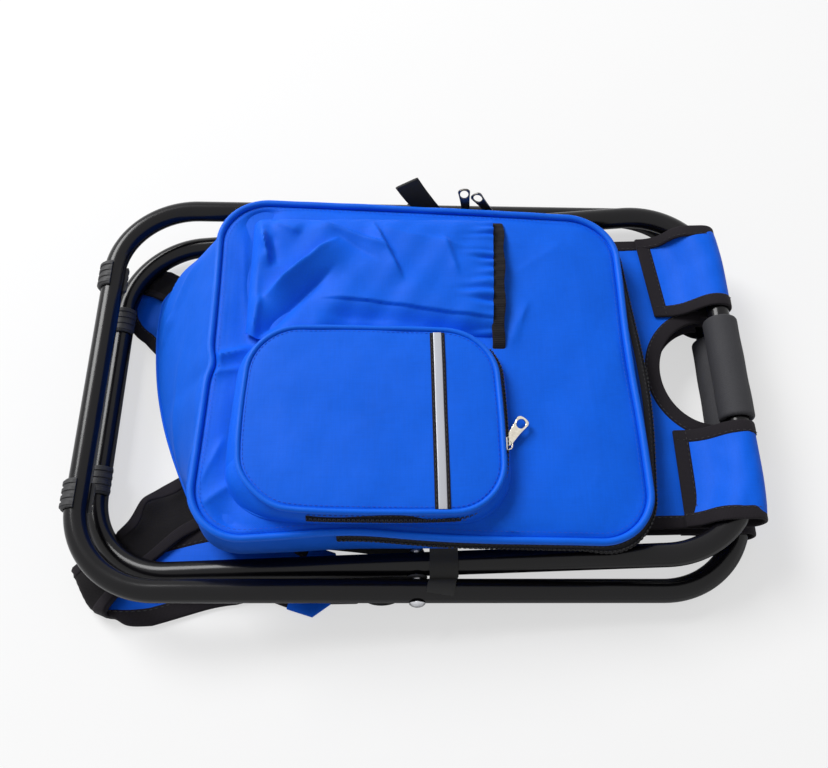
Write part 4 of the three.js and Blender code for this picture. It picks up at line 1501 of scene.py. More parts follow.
    def tab_binding(self, name: str, path: Array, inward: Array, end: bool = False) -> None:
        """A folded tape along a tab's edge; its face follows the cloth.

        Args:
            name: the piece's name.
            path: the edge.
            inward: the direction into the tab.
            end: whether it is the tab's loose end.
        """
        along = tangents(path)
        across = np.broadcast_to(inward, path.shape)
        out = unit(np.cross(along, across))
        middle = out[len(out) // 2] if end else out[-1]
        out = out * np.sign(middle[2])
        section = band_section(10.5 if end else 9.5, 2.7, 18, -0.8)
        tape = edged(path, across, out, section)
        tape.points = self.row(tape.points)
        self.blended(name, tape, Kit.BINDING)
        shift = 8.0 if end else 7.2
        seam = path + across * shift + out * 1.5
        row_out = self.row(seam + out) - self.row(seam)
        threads = stitches(self.row(seam), row_out, 2.0, 4.0, 0.26)
        self.blended(f"{name}_stitches", threads, Kit.BLACK_THREAD)

    def blended(
        self, name: str, shape: Any, finish: Kit, replaced: Sequence[str] = ()
    ) -> bpy.types.Object:
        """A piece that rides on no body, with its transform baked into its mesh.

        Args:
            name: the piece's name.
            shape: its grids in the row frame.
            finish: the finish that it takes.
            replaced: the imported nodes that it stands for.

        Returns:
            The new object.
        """
        made = piece(name, shape, finish, None, ROW, replaced)
        x, z = self.bar
        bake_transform(made)
        return made

    def build(self) -> None:
        """Cloth, bindings and tabs."""
        self.panel()
        self.edges()
        self.tab("near", -1)
        self.tab("far", 1)


@dataclass(frozen=True)
class SeatSeam:
    """The sewn seam between the seat's halves."""

    half: float = 115.5
    x: float = 90.0
    radius: float = 0.85

    def build(self) -> None:
        """A thin cord along the line where the halves turn."""
        y = np.linspace(-self.half, self.half, 60)
        path = np.stack([np.full_like(y, self.x), y, np.full_like(y, PIVOT[2])], -1)
        cord = sweep(path, circle(self.radius, 12))
        piece("seat_centre_seam", cord, Kit.CLOTH, Body.NARROW_SEAT)


# Bag

LID_LENGTH = 302.0
RIM = ((9.0, -131.0), (310.0, -133.5), (307.5, 119.5), (12.0, 133.0))
RIM_RADIUS = 36.0
BASE = ((-156.0, -117.0), (147.0, -121.0), (147.0, 121.0), (-217.0, 112.0))
BASE_RADIUS = 36.0
SIDE_POINTS = 96
CORNER_POINTS = 26
GUSSET_HEIGHT = 70.0
HINGE = (-150.0, 0.0, 61.0)


def rim_outline(grow: float = 0.0) -> Array:
    """The bag's rim seen from above in the lid's frame, with the near side's shallow dent.

    Args:
        grow: how far the outline is moved out.

    Returns:
        The outline's points.
    """
    outline = rounded_quad(RIM, RIM_RADIUS, SIDE_POINTS, CORNER_POINTS, (-1, 1.5, 0.5, -2.0))
    out = outward(outline)
    x, y = outline.T
    dent = 4.6 * hump(x, 112, 46) * (y < -90)
    dent = dent + 2.6 * hump(y, -6, 9) * (x < 30)
    dent = dent + 3.4 * hump(y, 8, 62) * ramp(x, 250, 296)
    return outline + out * (grow - dent)[:, None]


def lid_to_narrow(points: Array) -> Array:
    """Points of the lid's frame in the narrow loop's frame."""
    return Place(HINGE, LID.turn - NARROW.turn).row(points)


def base_outline() -> Array:
    """The bag's base in the narrow loop's frame; its left side bows out.

    Returns:
        The outline's points.
    """
    outline = rounded_quad(BASE, BASE_RADIUS, SIDE_POINTS, CORNER_POINTS, (0.5, 0, 0.5, 10.0))
    drawn_in = 8.0 * nearness(outline, (-203.0, 104.0), 22)
    return outline - outward(outline) * drawn_in[:, None]


def base_height(x: Array) -> Array:
    """Height of the base: it rises evenly to the seat end and is lifted over the straps."""
    return -9.7 + 12.3 * (x + 206) / 353 + 5.2 * ramp(-x, 150, 200)


GUSSET_CREASES = (
    Crease((54, 18.2), (92, 43.4), 4.0, 3.0, 2.0),
    Crease((44, 9.8), (60, 23.8), 3.4, 2.6, 1.6),
    Crease((66, 7.0), (104, 28.0), 3.0, 3.6, 0.6),
    Crease((30, 38.5), (-66, 8.4), 2.4, 4.2, 0.7),
    Crease((36, 60.2), (-40, 54.6), 1.8, 3.4, 0.6),
    Crease((-60, 56.0), (-96, 21.0), 1.8, 4.2, 1.3),
)


@dataclass(frozen=True)
class BagBody:
    """The tapered cooler body and its foil lining."""

    wall: float = 1.8
    lining_gap: float = 6.2
    lining_wall: float = 1.6
    lining_top: float = 0.92
    swell: float = 1.9
    near_swell: float = 5.0
    shelf: float = 5.2

    def ring(self, share: float, inset: float, folded: float = 1.0) -> Array:
        """The body's outline at a share of its height: base and rim mixed, with a swell.

        Args:
            share: the share of the height.
            inset: how far the outline is moved in.
            folded: how much of the folds it takes.

        Returns:
            The outline's points in the narrow loop's frame.
        """
        rim = lid_to_narrow(points3(rim_outline(-1.6), -1.0))
        flat = base_outline()
        base = points3(flat, base_height(flat[:, 0]))
        ring = base + (rim - base) * share
        out = outward(ring[:, :2])
        deep = np.linalg.norm(rim - base, axis=-1)
        swell = self.swell * np.sin(np.pi * share) * ramp(deep, 20, 60)
        near = ramp(-ring[:, 1], 104, 120) * ramp(-ring[:, 0], -150, -90)
        bulge = self.near_swell * np.sin(np.pi * min(share + 0.12, 1.0))
        swell = swell + near * bulge * folded
        crumple = 0.3 * ripple(ring[:, 0] * 0.8 + ring[:, 1], ring[:, 2] * 1.4, 140.0)
        crumple = crumple * np.sin(np.pi * share) * ramp(deep, 24, 50)
        fold = self._creases(ring, share)
        shelf = self.shelf * ramp(rim[:, 0], 118, 146) * np.sin(np.pi * share**1.7)
        far_end = ramp(ring[:, 1], 92, 108)
        drawn_in = 1.6 * ramp(ring[:, 0], 60, 100) * smooth(share * 2 - 1)
        shelf = shelf * (1 - far_end) - drawn_in * far_end
        ring[:, :2] += out * (swell + (crumple + fold) * folded + shelf - inset)[:, None]
        return ring

    def _creases(self, ring: Array, share: float) -> Array:
        """The gusset's folds at the bag's deep end, drawn over y and a height in millimetres.

        Args:
            ring: the outline.
            share: the share of the height.

        Returns:
            How far each point stands out.
        """
        left = ramp(-ring[:, 0], 120, 150)
        height = np.full(len(ring), share * GUSSET_HEIGHT)
        total = folded(GUSSET_CREASES, ring[:, 1], height)
        return total * left * np.sin(np.pi * share) ** 0.5

    def tub(self, inset: float, wall: float, top: float, rows: int, folded: float = 1.0) -> Patch:
        """An open box with walls: floor, outside up to the rim, inside back down to the floor.

        Args:
            inset: how far its outside lies inside the bag.
            wall: the thickness of its wall.
            top: the share of the height that it reaches.
            rows: how many rows a wall has.
            folded: how much of the folds it takes.

        Returns:
            The box.
        """
        shares = np.linspace(0, top, rows)
        raised = 0.6 * np.exp(-shares / 0.06)
        outside = np.stack([self.ring(s, inset, folded) for s in shares], 1)
        outside[:, :, 2] += inset * raised[None]
        inside = np.stack([self.ring(s, inset + wall, folded) for s in shares[::-1]], 1)
        inside[:, :, 2] += (inset + wall) * raised[None, ::-1]
        floors = []
        for edge in (outside[:, 0], inside[:, -1]):
            middle = edge.mean(0)
            steps = np.linspace(0, 1, 14)[None, :-1, None]
            floors.append(middle + (edge - middle)[:, None] * steps)
        grid = np.concatenate([floors[0], outside, inside, floors[1][:, ::-1]], 1)
        return Patch(grid, wrap_rows=True)

    def build(self) -> None:
        """The cloth body and the lining in it."""
        cloth = self.tub(0.0, self.wall, 1.0, 44)
        # The body's cloth is the darker copy of the blue cloth, as painted shade.
        piece("bag_body_cloth", cloth, Kit.DEEP_CLOTH, Body.NARROW, NARROW, ["bag_body"])
        lining = self.tub(self.lining_gap, self.lining_wall, self.lining_top, 30, 0.0)
        piece("bag_foil_lining", lining, Kit.FOIL, Body.NARROW, NARROW, ["bag_liner"])
        self.base_seam()

    def base_seam(self) -> None:
        """A turned seam round the base's edge."""
        ring = self.ring(0.02, -0.2)
        cord = sweep(ring, circle(1.1, 10, 1.2), closed=True)
        # The seam takes the darker copy of the blue cloth, as painted shade.
        piece("bag_base_seam", cord, Kit.DEEP_CLOTH, Body.NARROW, NARROW)


@dataclass(frozen=True)
class ZipRun:
    """A zip along part of an outline: a bulged tape with a coil down its middle."""

    name: str
    body: Body
    place: Place
    replaced: tuple[str, ...]
    width: float
    bulge: float

    def build(
        self, path: Array, out: Array, lean: Any, moved: Callable[[Array], Array] = np.asarray
    ) -> None:
        """Makes the tape and the coil.

        Args:
            path: the middle of the zip.
            out: directions away from the bag.
            lean: how far the tape's foot stands out for each unit of height.
            moved: moves points from the path's frame to the piece's frame.
        """
        t = np.linspace(-1, 1, 15)
        rise = unit(UP - out * np.reshape(lean, (-1, 1)))
        outer = path[:, None] + rise[:, None] * (t * self.width / 2)[None, :, None]
        outer = outer + out[:, None] * (self.bulge * (1 - t**2) ** 0.7)[None, :, None]
        inner = outer - out[:, None] * 1.1
        loop = np.concatenate([outer, inner[:, ::-1]], 1)
        tape = Patch(moved(loop), wrap_cols=True, capped=True)
        piece(self.name, tape, Kit.ZIP_TAPE, self.body, self.place, self.replaced)
        middle = path + out * (self.bulge + 0.35)
        turned = moved(middle + out) - moved(middle)
        wide = moved(middle + UP) - moved(middle)
        teeth = zip_teeth(moved(middle), turned, wide)
        piece(f"{self.name}_coil", teeth, Kit.TEETH, self.body, self.place)
        for label, share in (("upper", 0.62), ("lower", -0.62)):
            stand = self.bulge * (1 - share**2) ** 0.7 + 0.2
            line = path + rise * share * self.width / 2 + out * stand
            sewn = stitches(moved(line), turned, 2.2, 3.4, 0.24)
            name = f"{self.name}_{label}_stitches"
            piece(name, sewn, Kit.BLACK_THREAD, self.body, self.place)


def part_of(keep: Array) -> Array:
    """Numbers of a closed outline's points that are kept, in one unbroken run.

    Args:
        keep: whether each point of the outline is kept.

    Returns:
        The kept points' numbers, from the run's start on.
    """
    first = int(np.argmax(keep & ~np.roll(keep, 1)))
    order = np.roll(np.arange(len(keep)), -first)
    return order[keep[order]]


@dataclass(frozen=True)
class MainZip:
    """The zip round the rim, from the near side round the seat end to the far side."""

    start: float = 104.0
    far_line: float = 125.2
    height: float = -7.6

    def build(self) -> None:
        """The tape hangs under the piping and bulges past it at the seat end and far side."""
        outline = rim_outline(-0.5)
        run = part_of(outline[:, 0] > self.start)
        out2 = outward(outline)[run]
        x, y = outline[run].T
        seat_end = ramp(x, 262, 298)
        far = ramp(y, 90, 115) * (1 - seat_end)
        stand = 2.0 + 9.0 * hump(y, -12, 74)
        flat = outline[run] + out2 * (stand * seat_end)[:, None]
        flat[:, 1] += far * (self.far_line - flat[:, 1])
        path = points3(flat, self.height)
        out = points3(out2, 0.0)
        zip_run = ZipRun("main_zip", Body.NARROW, NARROW, ("main_zip_tape",), 12.5, 2.6)
        zip_run.build(path, out, 0.12 + 0.5 * seat_end, lid_to_narrow)


LID_CREASES = (
    Crease((12, -4), (39, 5), 4.4, 3.6, 1.35),
    Crease((14, -14), (36, -10), 2.0, 2.0, 1.4),
    Crease((18, -108), (40, -91), 2.6, 3.6, 1.3),
    Crease((16, -92), (27, -64), 1.6, 3.0, 1.3),
    Crease((236, 40), (224, 10), 1.5, 2.6, 1.5),
    Crease((192, -110), (220, -129), 1.4, 4.0, 1.3),
    Crease((34, 40), (30, 96), 1.3, 4.2, 1.2),
    Crease((232, 70), (262, 92), 0.9, 7.0, 1.2),
    Crease((250, -40), (286, -64), 0.8, 8.0, 1.2),
)


def lid_height(x: Array, y: Array, inside: Array) -> Array:
    """Top of the lid: a puffed panel, lower at its seam, with creases and soft dents.

    Args:
        x: places along X.
        y: places along Y.
        inside: how far inside the rim each place is, from 0 on it.

    Returns:
        The height at each place.
    """
    puff = 0.9 + 4.2 * np.clip(inside, 0, 1) ** 0.45
    puff = puff + 1.4 * np.sin(np.pi * np.clip(x / LID_LENGTH, 0, 1)) * smooth(inside * 2)
    folds = folded(LID_CREASES, x, y)
    valley = hump(x - 0.02 * y, 37, 13) * ramp(inside, 0.02, 0.3)
    folds = folds - (4.6 + 2.4 * ramp(y, 0, 40)) * valley * (0.8 + 0.2 * ripple(x, y, 70.0))
    return puff + folds * smooth(inside * 6) + 0.7 * ripple(x, y, 88.0) * smooth(inside * 5)


class Lid:
    """The padded lid with its cord piping and its foil underside."""

    def build(self) -> None:
        """Top cloth and underside as one skin, then the piping and its seam."""
        outline = resampled(rim_outline(-2.2), 600, closed=True)
        spans = ((0, 0.5, 24), (0.5, 0.93, 56), (0.93, 1, 16))
        shares = np.concatenate([[0.0], *(np.linspace(*span)[1:] for span in spans)])
        flat = fan(outline, shares)
        inside = np.broadcast_to((1 - shares)[:, None] * 5.0, flat.shape[:-1])
        z = lid_height(flat[..., 0], flat[..., 1], inside)
        top = points3(flat, z)
        low = fan(outline, np.linspace(1, 0, 16))
        under = points3(low, 0.4)
        skin = Patch(np.concatenate([top, under]), wrap_cols=True)
        piece("bag_lid_cloth", skin, Kit.CLOTH, Body.LID, LID, ["bag_lid"])
        self.lining()
        self.piping()

    def lining(self) -> None:
        """A foil sheet under the lid, drawn in from the rim."""
        flat = fan(rim_outline(-9.0), np.linspace(0, 1, 30))
        top = points3(flat, 0.3)
        sag = 0.5 * ripple(flat[..., 0], flat[..., 1], 60.0)
        low = points3(flat[::-1], sag[::-1] - 1.8)
        skin = Patch(np.concatenate([top, low]), wrap_cols=True)
        piece("lid_foil_lining", skin, Kit.FOIL, Body.LID, LID)

    def piping(self) -> None:
        """A cord round the rim on a flat flange, with a stitched groove inside it."""
        outline = rim_outline(0.0)
        wander = 0.35 * ripple(outline[:, 0], outline[:, 1], 70.0)
        cord = sweep(points3(outline, 2.5 + wander), circle(2.4, 20), closed=True)
        piece("lid_piping_cord", cord, Kit.PIPING, Body.LID, LID, ["lid_piping"])
        section = band_section(4.6, 1.2, 14, -2.3)
        flange = sweep(points3(rim_outline(-2.6), 0.7), section, closed=True)
        piece("lid_piping_flange", flange, Kit.PIPING, Body.LID, LID)
        inner = rim_outline(-5.4)
        seam = points3(looped(inner), 3.9)
        sewn = stitches(seam, UP, 2.3, 3.4, 0.2)
        piece("lid_seam_stitches", sewn, Kit.BLUE_THREAD, Body.LID, LID)


# Zip pocket

POCKET_TOP = ((39.0, -116.6), (212.2, -118.6), (209.5, 11.5), (43.0, 14.0))
POCKET_FOOT = ((29.0, -120.5), (217.5, -121.0), (217.5, 15.0), (36.0, 19.0))


def pocket_outline(corners: Sequence[Sequence[float]], grow: float) -> Array:
    """An outline of the zip pocket in the lid's frame; its near left corner is the softest.

    Args:
        corners: its four corners.
        grow: how far the outline is moved out.

    Returns:
        The outline's points.
    """
    outline = rounded_quad(corners, 35.0, 70, 22, (0.5, 0.5, 0.5, 0.5))
    drawn_in = 3.9 * nearness(outline, (50.0, -107.0), 24)
    return outline + outward(outline) * (grow - drawn_in)[:, None]


@dataclass(frozen=True)
class ZipPocket:
    """The small pocket on the lid: wall, zip, hinged flap, piping and reflective strip."""

    foot_z: float = 3.4
    wall_z: float = 17.0
    zip_z: float = 12.0
    top_z: float = 18.4
    strip_x: float = 171.0
    strip_seam: float = 3.9

    def wall_grid(self) -> Array:
        """The wall from the lid to the zip: foot and top outlines mixed, with small folds.

        Returns:
            Rows of points from the foot up.
        """
        foot, top = pocket_outline(POCKET_FOOT, 0.0), pocket_outline(POCKET_TOP, -0.4)
        s = np.linspace(0, 1, 22)[:, None, None]
        flat = foot[None] * (1 - s) + top[None] * s
        out = outward(top)[None]
        at = lengths_along(top)[None]
        folds = 1.0 * np.sin(at / 9.5 + 1.4 * np.sin(at / 23.0)) * np.sin(np.pi * s[..., 0])
        left = 0.35 + 0.65 * ramp(-flat[..., 0], -60, -36)
        swell = 1.2 * np.sin(np.pi * s[..., 0])
        flat = flat + out * (folds * left + swell)[..., None]
        return points3(flat, self.foot_z + (self.wall_z - self.foot_z) * s[..., 0] ** 0.9)

    def build(self) -> None:
        """All the pocket's pieces."""
        grid = self.wall_grid()
        wall = sheet(np.swapaxes(grid, 0, 1)[::-1], 1.4, wrap_rows=True)
        piece("zip_pocket_side", wall, Kit.CLOTH, Body.LID, LID, ["zip_pocket_wall"])
        foot = grid[0].copy()
        foot[:, 2] = lid_height(foot[:, 0], foot[:, 1], np.full(len(foot), 0.6)) - 0.2
        cord = sweep(foot, circle(1.1, 10, 0.9), closed=True)
        piece("zip_pocket_foot_seam", cord, Kit.PIPING, Body.LID, LID)
        self.zip()
        self.flap()
        self.strip()

    def zip(self) -> None:
        """The zip along the near and right sides, just under the piping."""
        s = 0.62
        outline = pocket_outline(POCKET_FOOT, 0.0) * (1 - s) + pocket_outline(POCKET_TOP, -0.4) * s
        stand = 1.0 - 2.4 * nearness(outline, (206.0, -106.0), 26)
        outline = outline + outward(outline) * stand[:, None]
        x, y = outline.T
        run = part_of(((x > 84) & (y < -60)) | ((x > 180) & (y < 2)))
        out = points3(outward(outline)[run], 0.0)
        path = points3(outline[run], self.zip_z)
        zip_run = ZipRun("zip_pocket_zip", Body.LID, LID, ("zip_pocket_tape",), 9.5, 1.4)
        zip_run.build(path, out, 0.45)

    def flap_height(self, x: Array, y: Array, inside: Array) -> Array:
        """The flap's top: lightly puffed, with faint dents.

        Args:
            x: places along X.
            y: places along Y.
            inside: how far inside the edge each place is, from 0 on it.

        Returns:
            The height at each place.
        """
        puff = 0.3 + 2.0 * np.clip(inside, 0, 1) ** 0.5
        return self.top_z + puff + 0.22 * ripple(x, y, 64.0)

    def flap(self) -> None:
        """The hinged top: cloth over its own lining, with a cord round it."""
        outline = pocket_outline(POCKET_TOP, -1.4)
        shares = np.concatenate([np.linspace(0, 0.88, 44), np.linspace(0.88, 1, 14)[1:]])
        flat = fan(outline, shares)
        inside = np.broadcast_to((1 - shares)[:, None] * 3.0, flat.shape[:-1])
        z = self.flap_height(flat[..., 0], flat[..., 1], inside)
        top = points3(flat, z)
        low = points3(fan(outline, np.linspace(1, 0, 14)), self.top_z - 0.8)
        skin = Patch(np.concatenate([top, low]), wrap_cols=True)
        body = Body.FLAP
        piece("zip_pocket_top", skin, Kit.CLOTH, body, LID, ["zip_pocket_flap"])
        edge = pocket_outline(POCKET_TOP, 0.4)
        wander = 0.25 * ripple(edge[:, 0], edge[:, 1], 55.0)
        path = points3(edge, self.top_z + 0.1 + wander)
        cord = sweep(path, circle(1.9, 18), closed=True)
        piece("zip_pocket_piping_cord", cord, Kit.PIPING, body, LID, ["zip_pocket_piping"])
        inner = pocket_outline(POCKET_TOP, -2.8)
        seam = points3(looped(inner), self.top_z + 1.0)
        sewn = stitches(seam, UP, 2.2, 3.3, 0.2)
        piece("zip_pocket_stitches", sewn, Kit.BLUE_THREAD, body, LID)

    def strip(self) -> None:
        """Silver tape on a wider black band across the flap, sewn along both edges."""
        t = np.linspace(0, 1, 120)
        y = -117.0 + 126.5 * t
        x = self.strip_x + 1.2 * (0.5 - t)
        near = np.minimum(y + 118.5, 11.5 - y) / 70
        z = self.flap_height(x, y, near * 3.0)
        path = np.stack([x, y, z + 0.15], -1)
        body = Body.FLAP
        band = sweep(path, band_section(10.2, 1.1, 18, -5.1))
        piece("reflective_backing", band, Kit.BINDING, body, LID, ["reflective_strip"])
        silver = sweep(path + UP * 0.55, band_section(5.6, 0.7, 18, -2.8))
        piece("reflective_tape", silver, Kit.SILVER, body, LID)
        for label, shift in (("left", -self.strip_seam), ("right", self.strip_seam)):
            line = path + np.array([shift, 0, 0.75])
            sewn = stitches(line, UP, 2.2, 3.4, 0.24)
            piece(f"reflective_{label}_stitches", sewn, Kit.BLACK_THREAD, body, LID)


# Bottle pocket

POUCH_FOLDS = (
    Crease((56, 49), (93, 84), 10.5, 3.8, 3.8),
    Crease((42, 16), (45, 40), 3.4, 3.0, 0.7),
    Crease((45, 96), (50, 72), 4.6, 2.6, 2.0),
    Crease((41, 106), (47, 84), 3.6, 2.6, 0.5),
    Crease((54, 106), (70, 98), 2.6, 4.0, 0.7),
    Crease((84, 108), (132, 84), 4.6, 2.6, 2.6),
    Crease((127, 101), (144, 62), 4.4, 2.4, 2.8),
    Crease((178, 90), (186, 64), 2.0, 3.0, 1.8),
    Crease((146, 96), (206, 80), 2.0, 6.0, 1.5),
)
POUCH_VALLEYS = (
    Crease((50, 16), (92, 60), 9.0, 8.5, 0.9),
    Crease((98, 96), (126, 74), 2.2, 5.0, 1.3),
    Crease((52, 92), (56, 72), 2.0, 3.0, 1.0),
)


@dataclass(frozen=True)
class BottlePocket:
    """The gathered bottle pocket with an elastic band at its mouth."""

    left: float = 37.0
    mouth: float = 216.0
    near: float = 8.0
    far: float = 114.0
    gather_pitch: float = 8.4
    mouth_slant: float = 4.5
    band_width: float = 9.0

    def height(self, x: Array, y: Array) -> Array:
        """The cloth over the lid: an arch that is tallest near the mouth, with its folds.

        Args:
            x: places along X.
            y: places along Y.

        Returns:
            The height at each place.
        """
        t = (y - self.near) / (self.far - self.near)
        s = np.clip((x - self.left) / (self.mouth - self.left), 0, 1)
        sides = np.clip(np.minimum(t, 1 - t), 0, 1)
        arch = np.clip(1 - (1 - np.clip(sides / 0.16, 0, 1)) ** 2, 0, 1) ** 0.5
        rise = 8.2 + 3.4 * smooth(s) + 1.6 * np.sin(np.pi * s)
        body = arch * rise * np.clip(s / 0.035, 0, 1) ** 0.5
        line = 41.5 - 0.13 * (x - 100) + 1.0 * np.sin(x / 17)
        slope = (2.4 + 5.2 * smooth((line - y) / 14.0)) * smooth((line - y + 0.6) / 1.8)
        slope = slope * ramp(x, 84, 112)
        body = body - slope * np.clip(body / 9.0, 0, 1)
        folds = folded(POUCH_FOLDS, x, y) - folded(POUCH_VALLEYS, x, y)
        folds = folds + 1.1 * ripple(x, y, 52.0)
        deep = 0.8 + 0.5 * np.sin(y / 5.1) + 0.3 * np.sin(y / 8.3 + 1)
        gather = 1.6 * deep * np.sin(2 * np.pi * y / self.gather_pitch + 1.9 * np.sin(y / 13))
        gather = gather * ramp(x + 9 * np.sin(y / 6.1), 184, 212) ** 1.6
        calm = arch * smooth(s / 0.06)
        return 3.2 + np.maximum(body + (folds + gather) * calm, 0.3 * arch)

    def grid(self) -> Array:
        """The cloth over x and y, with its left edge set in at the corners.

        Returns:
            Rows of points from the closed end to the mouth.
        """
        s, t = np.meshgrid(np.linspace(0, 1, 200), np.linspace(0, 1, 130), indexing="ij")
        x = self.left + (self.mouth - 1.5 - self.mouth_slant * (1 - t) - self.left) * s
        corner = 6.0 * np.clip(1 - s / 0.06, 0, 1) ** 2
        near = self.near + 3.0 * (1 - s) + corner
        far = self.far - 2.5 * s - corner
        y = near + (far - near) * t
        return np.stack([x, y, self.height(x, y)], -1)

    def build(self) -> None:
        """The cloth and the band."""
        grid = self.grid()
        body = Body.LID
        skin = sheet(grid, 1.1)
        cloth = piece("bottle_pocket_cloth", skin, Kit.CLOTH, body, LID, ["bottle_pocket"])
        edge = grid[-1].copy()
        t = np.linspace(0, 1, len(edge))
        edge[:, 1] = np.linspace(edge[0, 1] - 3.5, edge[-1, 1] + 1.0, len(edge))
        edge[:, 2] = 4.0 + 9.4 * np.sin(np.pi * t) ** 0.55
        edge[:, 0] += 0.5 + 0.5 * np.sin(2 * np.pi * edge[:, 1] / 31)
        out = unit(np.cross(np.array([-1.0, 0, 0]), tangents(edge)))
        out = out * np.sign(out[len(out) // 2, 2])
        ribs = 0.22 * np.sin(2 * np.pi * edge[:, 1] / 7.2)
        section = band_section(self.band_width, 2.4, 20, -1.0)
        path = edge + out * ribs[:, None]
        band = edged(path, np.broadcast_to([1.0, 0, 0], edge.shape), out, section)
        piece("bottle_pocket_elastic", band, Kit.ELASTIC, body, LID, ["elastic_band"])
        for label, index, step in (("near", 0, 1), ("far", -1, -1)):
            start = edge[index] + np.array([0, 2.2 * step, 1.5])
            seam = start + np.linspace(0, self.band_width, 12)[:, None] * [1, 0, 0]
            sewn = stitches(seam, UP, 1.5, 1.9, 0.3)
            piece(f"elastic_{label}_stitches", sewn, Kit.BLUE_THREAD, body, LID)


# Straps, ties and zip pulls


@dataclass(frozen=True)
class Fold:
    """A strap's diagonal fold: the part past the crease rolls under and comes back below."""

    centre: tuple[float, float]
    crease: tuple[float, float]
    radius: float = 2.1

    def beyond(self) -> Array:
        """Direction across the crease, away from the part that stays."""
        c = unit(np.array(self.crease))
        return np.array([c[1], -c[0]])

    def unfolded(self, knots: Sequence[tuple[float, float]]) -> list[Array]:
        """Where points of the folded part lie before it is folded: mirrored in the crease."""
        m = self.beyond()
        return [np.array(k) - 2 * ((np.array(k) - self.centre) @ m) * m for k in knots]

    def apply(self, flat: Array, lift: Array) -> Array:
        """Rolls flat points about the crease; lift is the distance out of the strap's middle.

        Args:
            flat: points of the flat strap.
            lift: distance of each from the strap's middle.

        Returns:
            The points in space.
        """
        m = self.beyond()
        past = (flat - np.array(self.centre)) @ m
        angle = np.clip(past / self.radius, 0, np.pi)
        over = np.maximum(past - np.pi * self.radius, 0)
        rolled = np.where(past > 0, self.radius * np.sin(angle) - past - over, 0)
        shift = rolled + np.sin(angle) * lift
        z = self.radius * (1 + np.cos(angle)) + np.cos(angle) * lift
        return points3(flat + shift[..., None] * m, z)


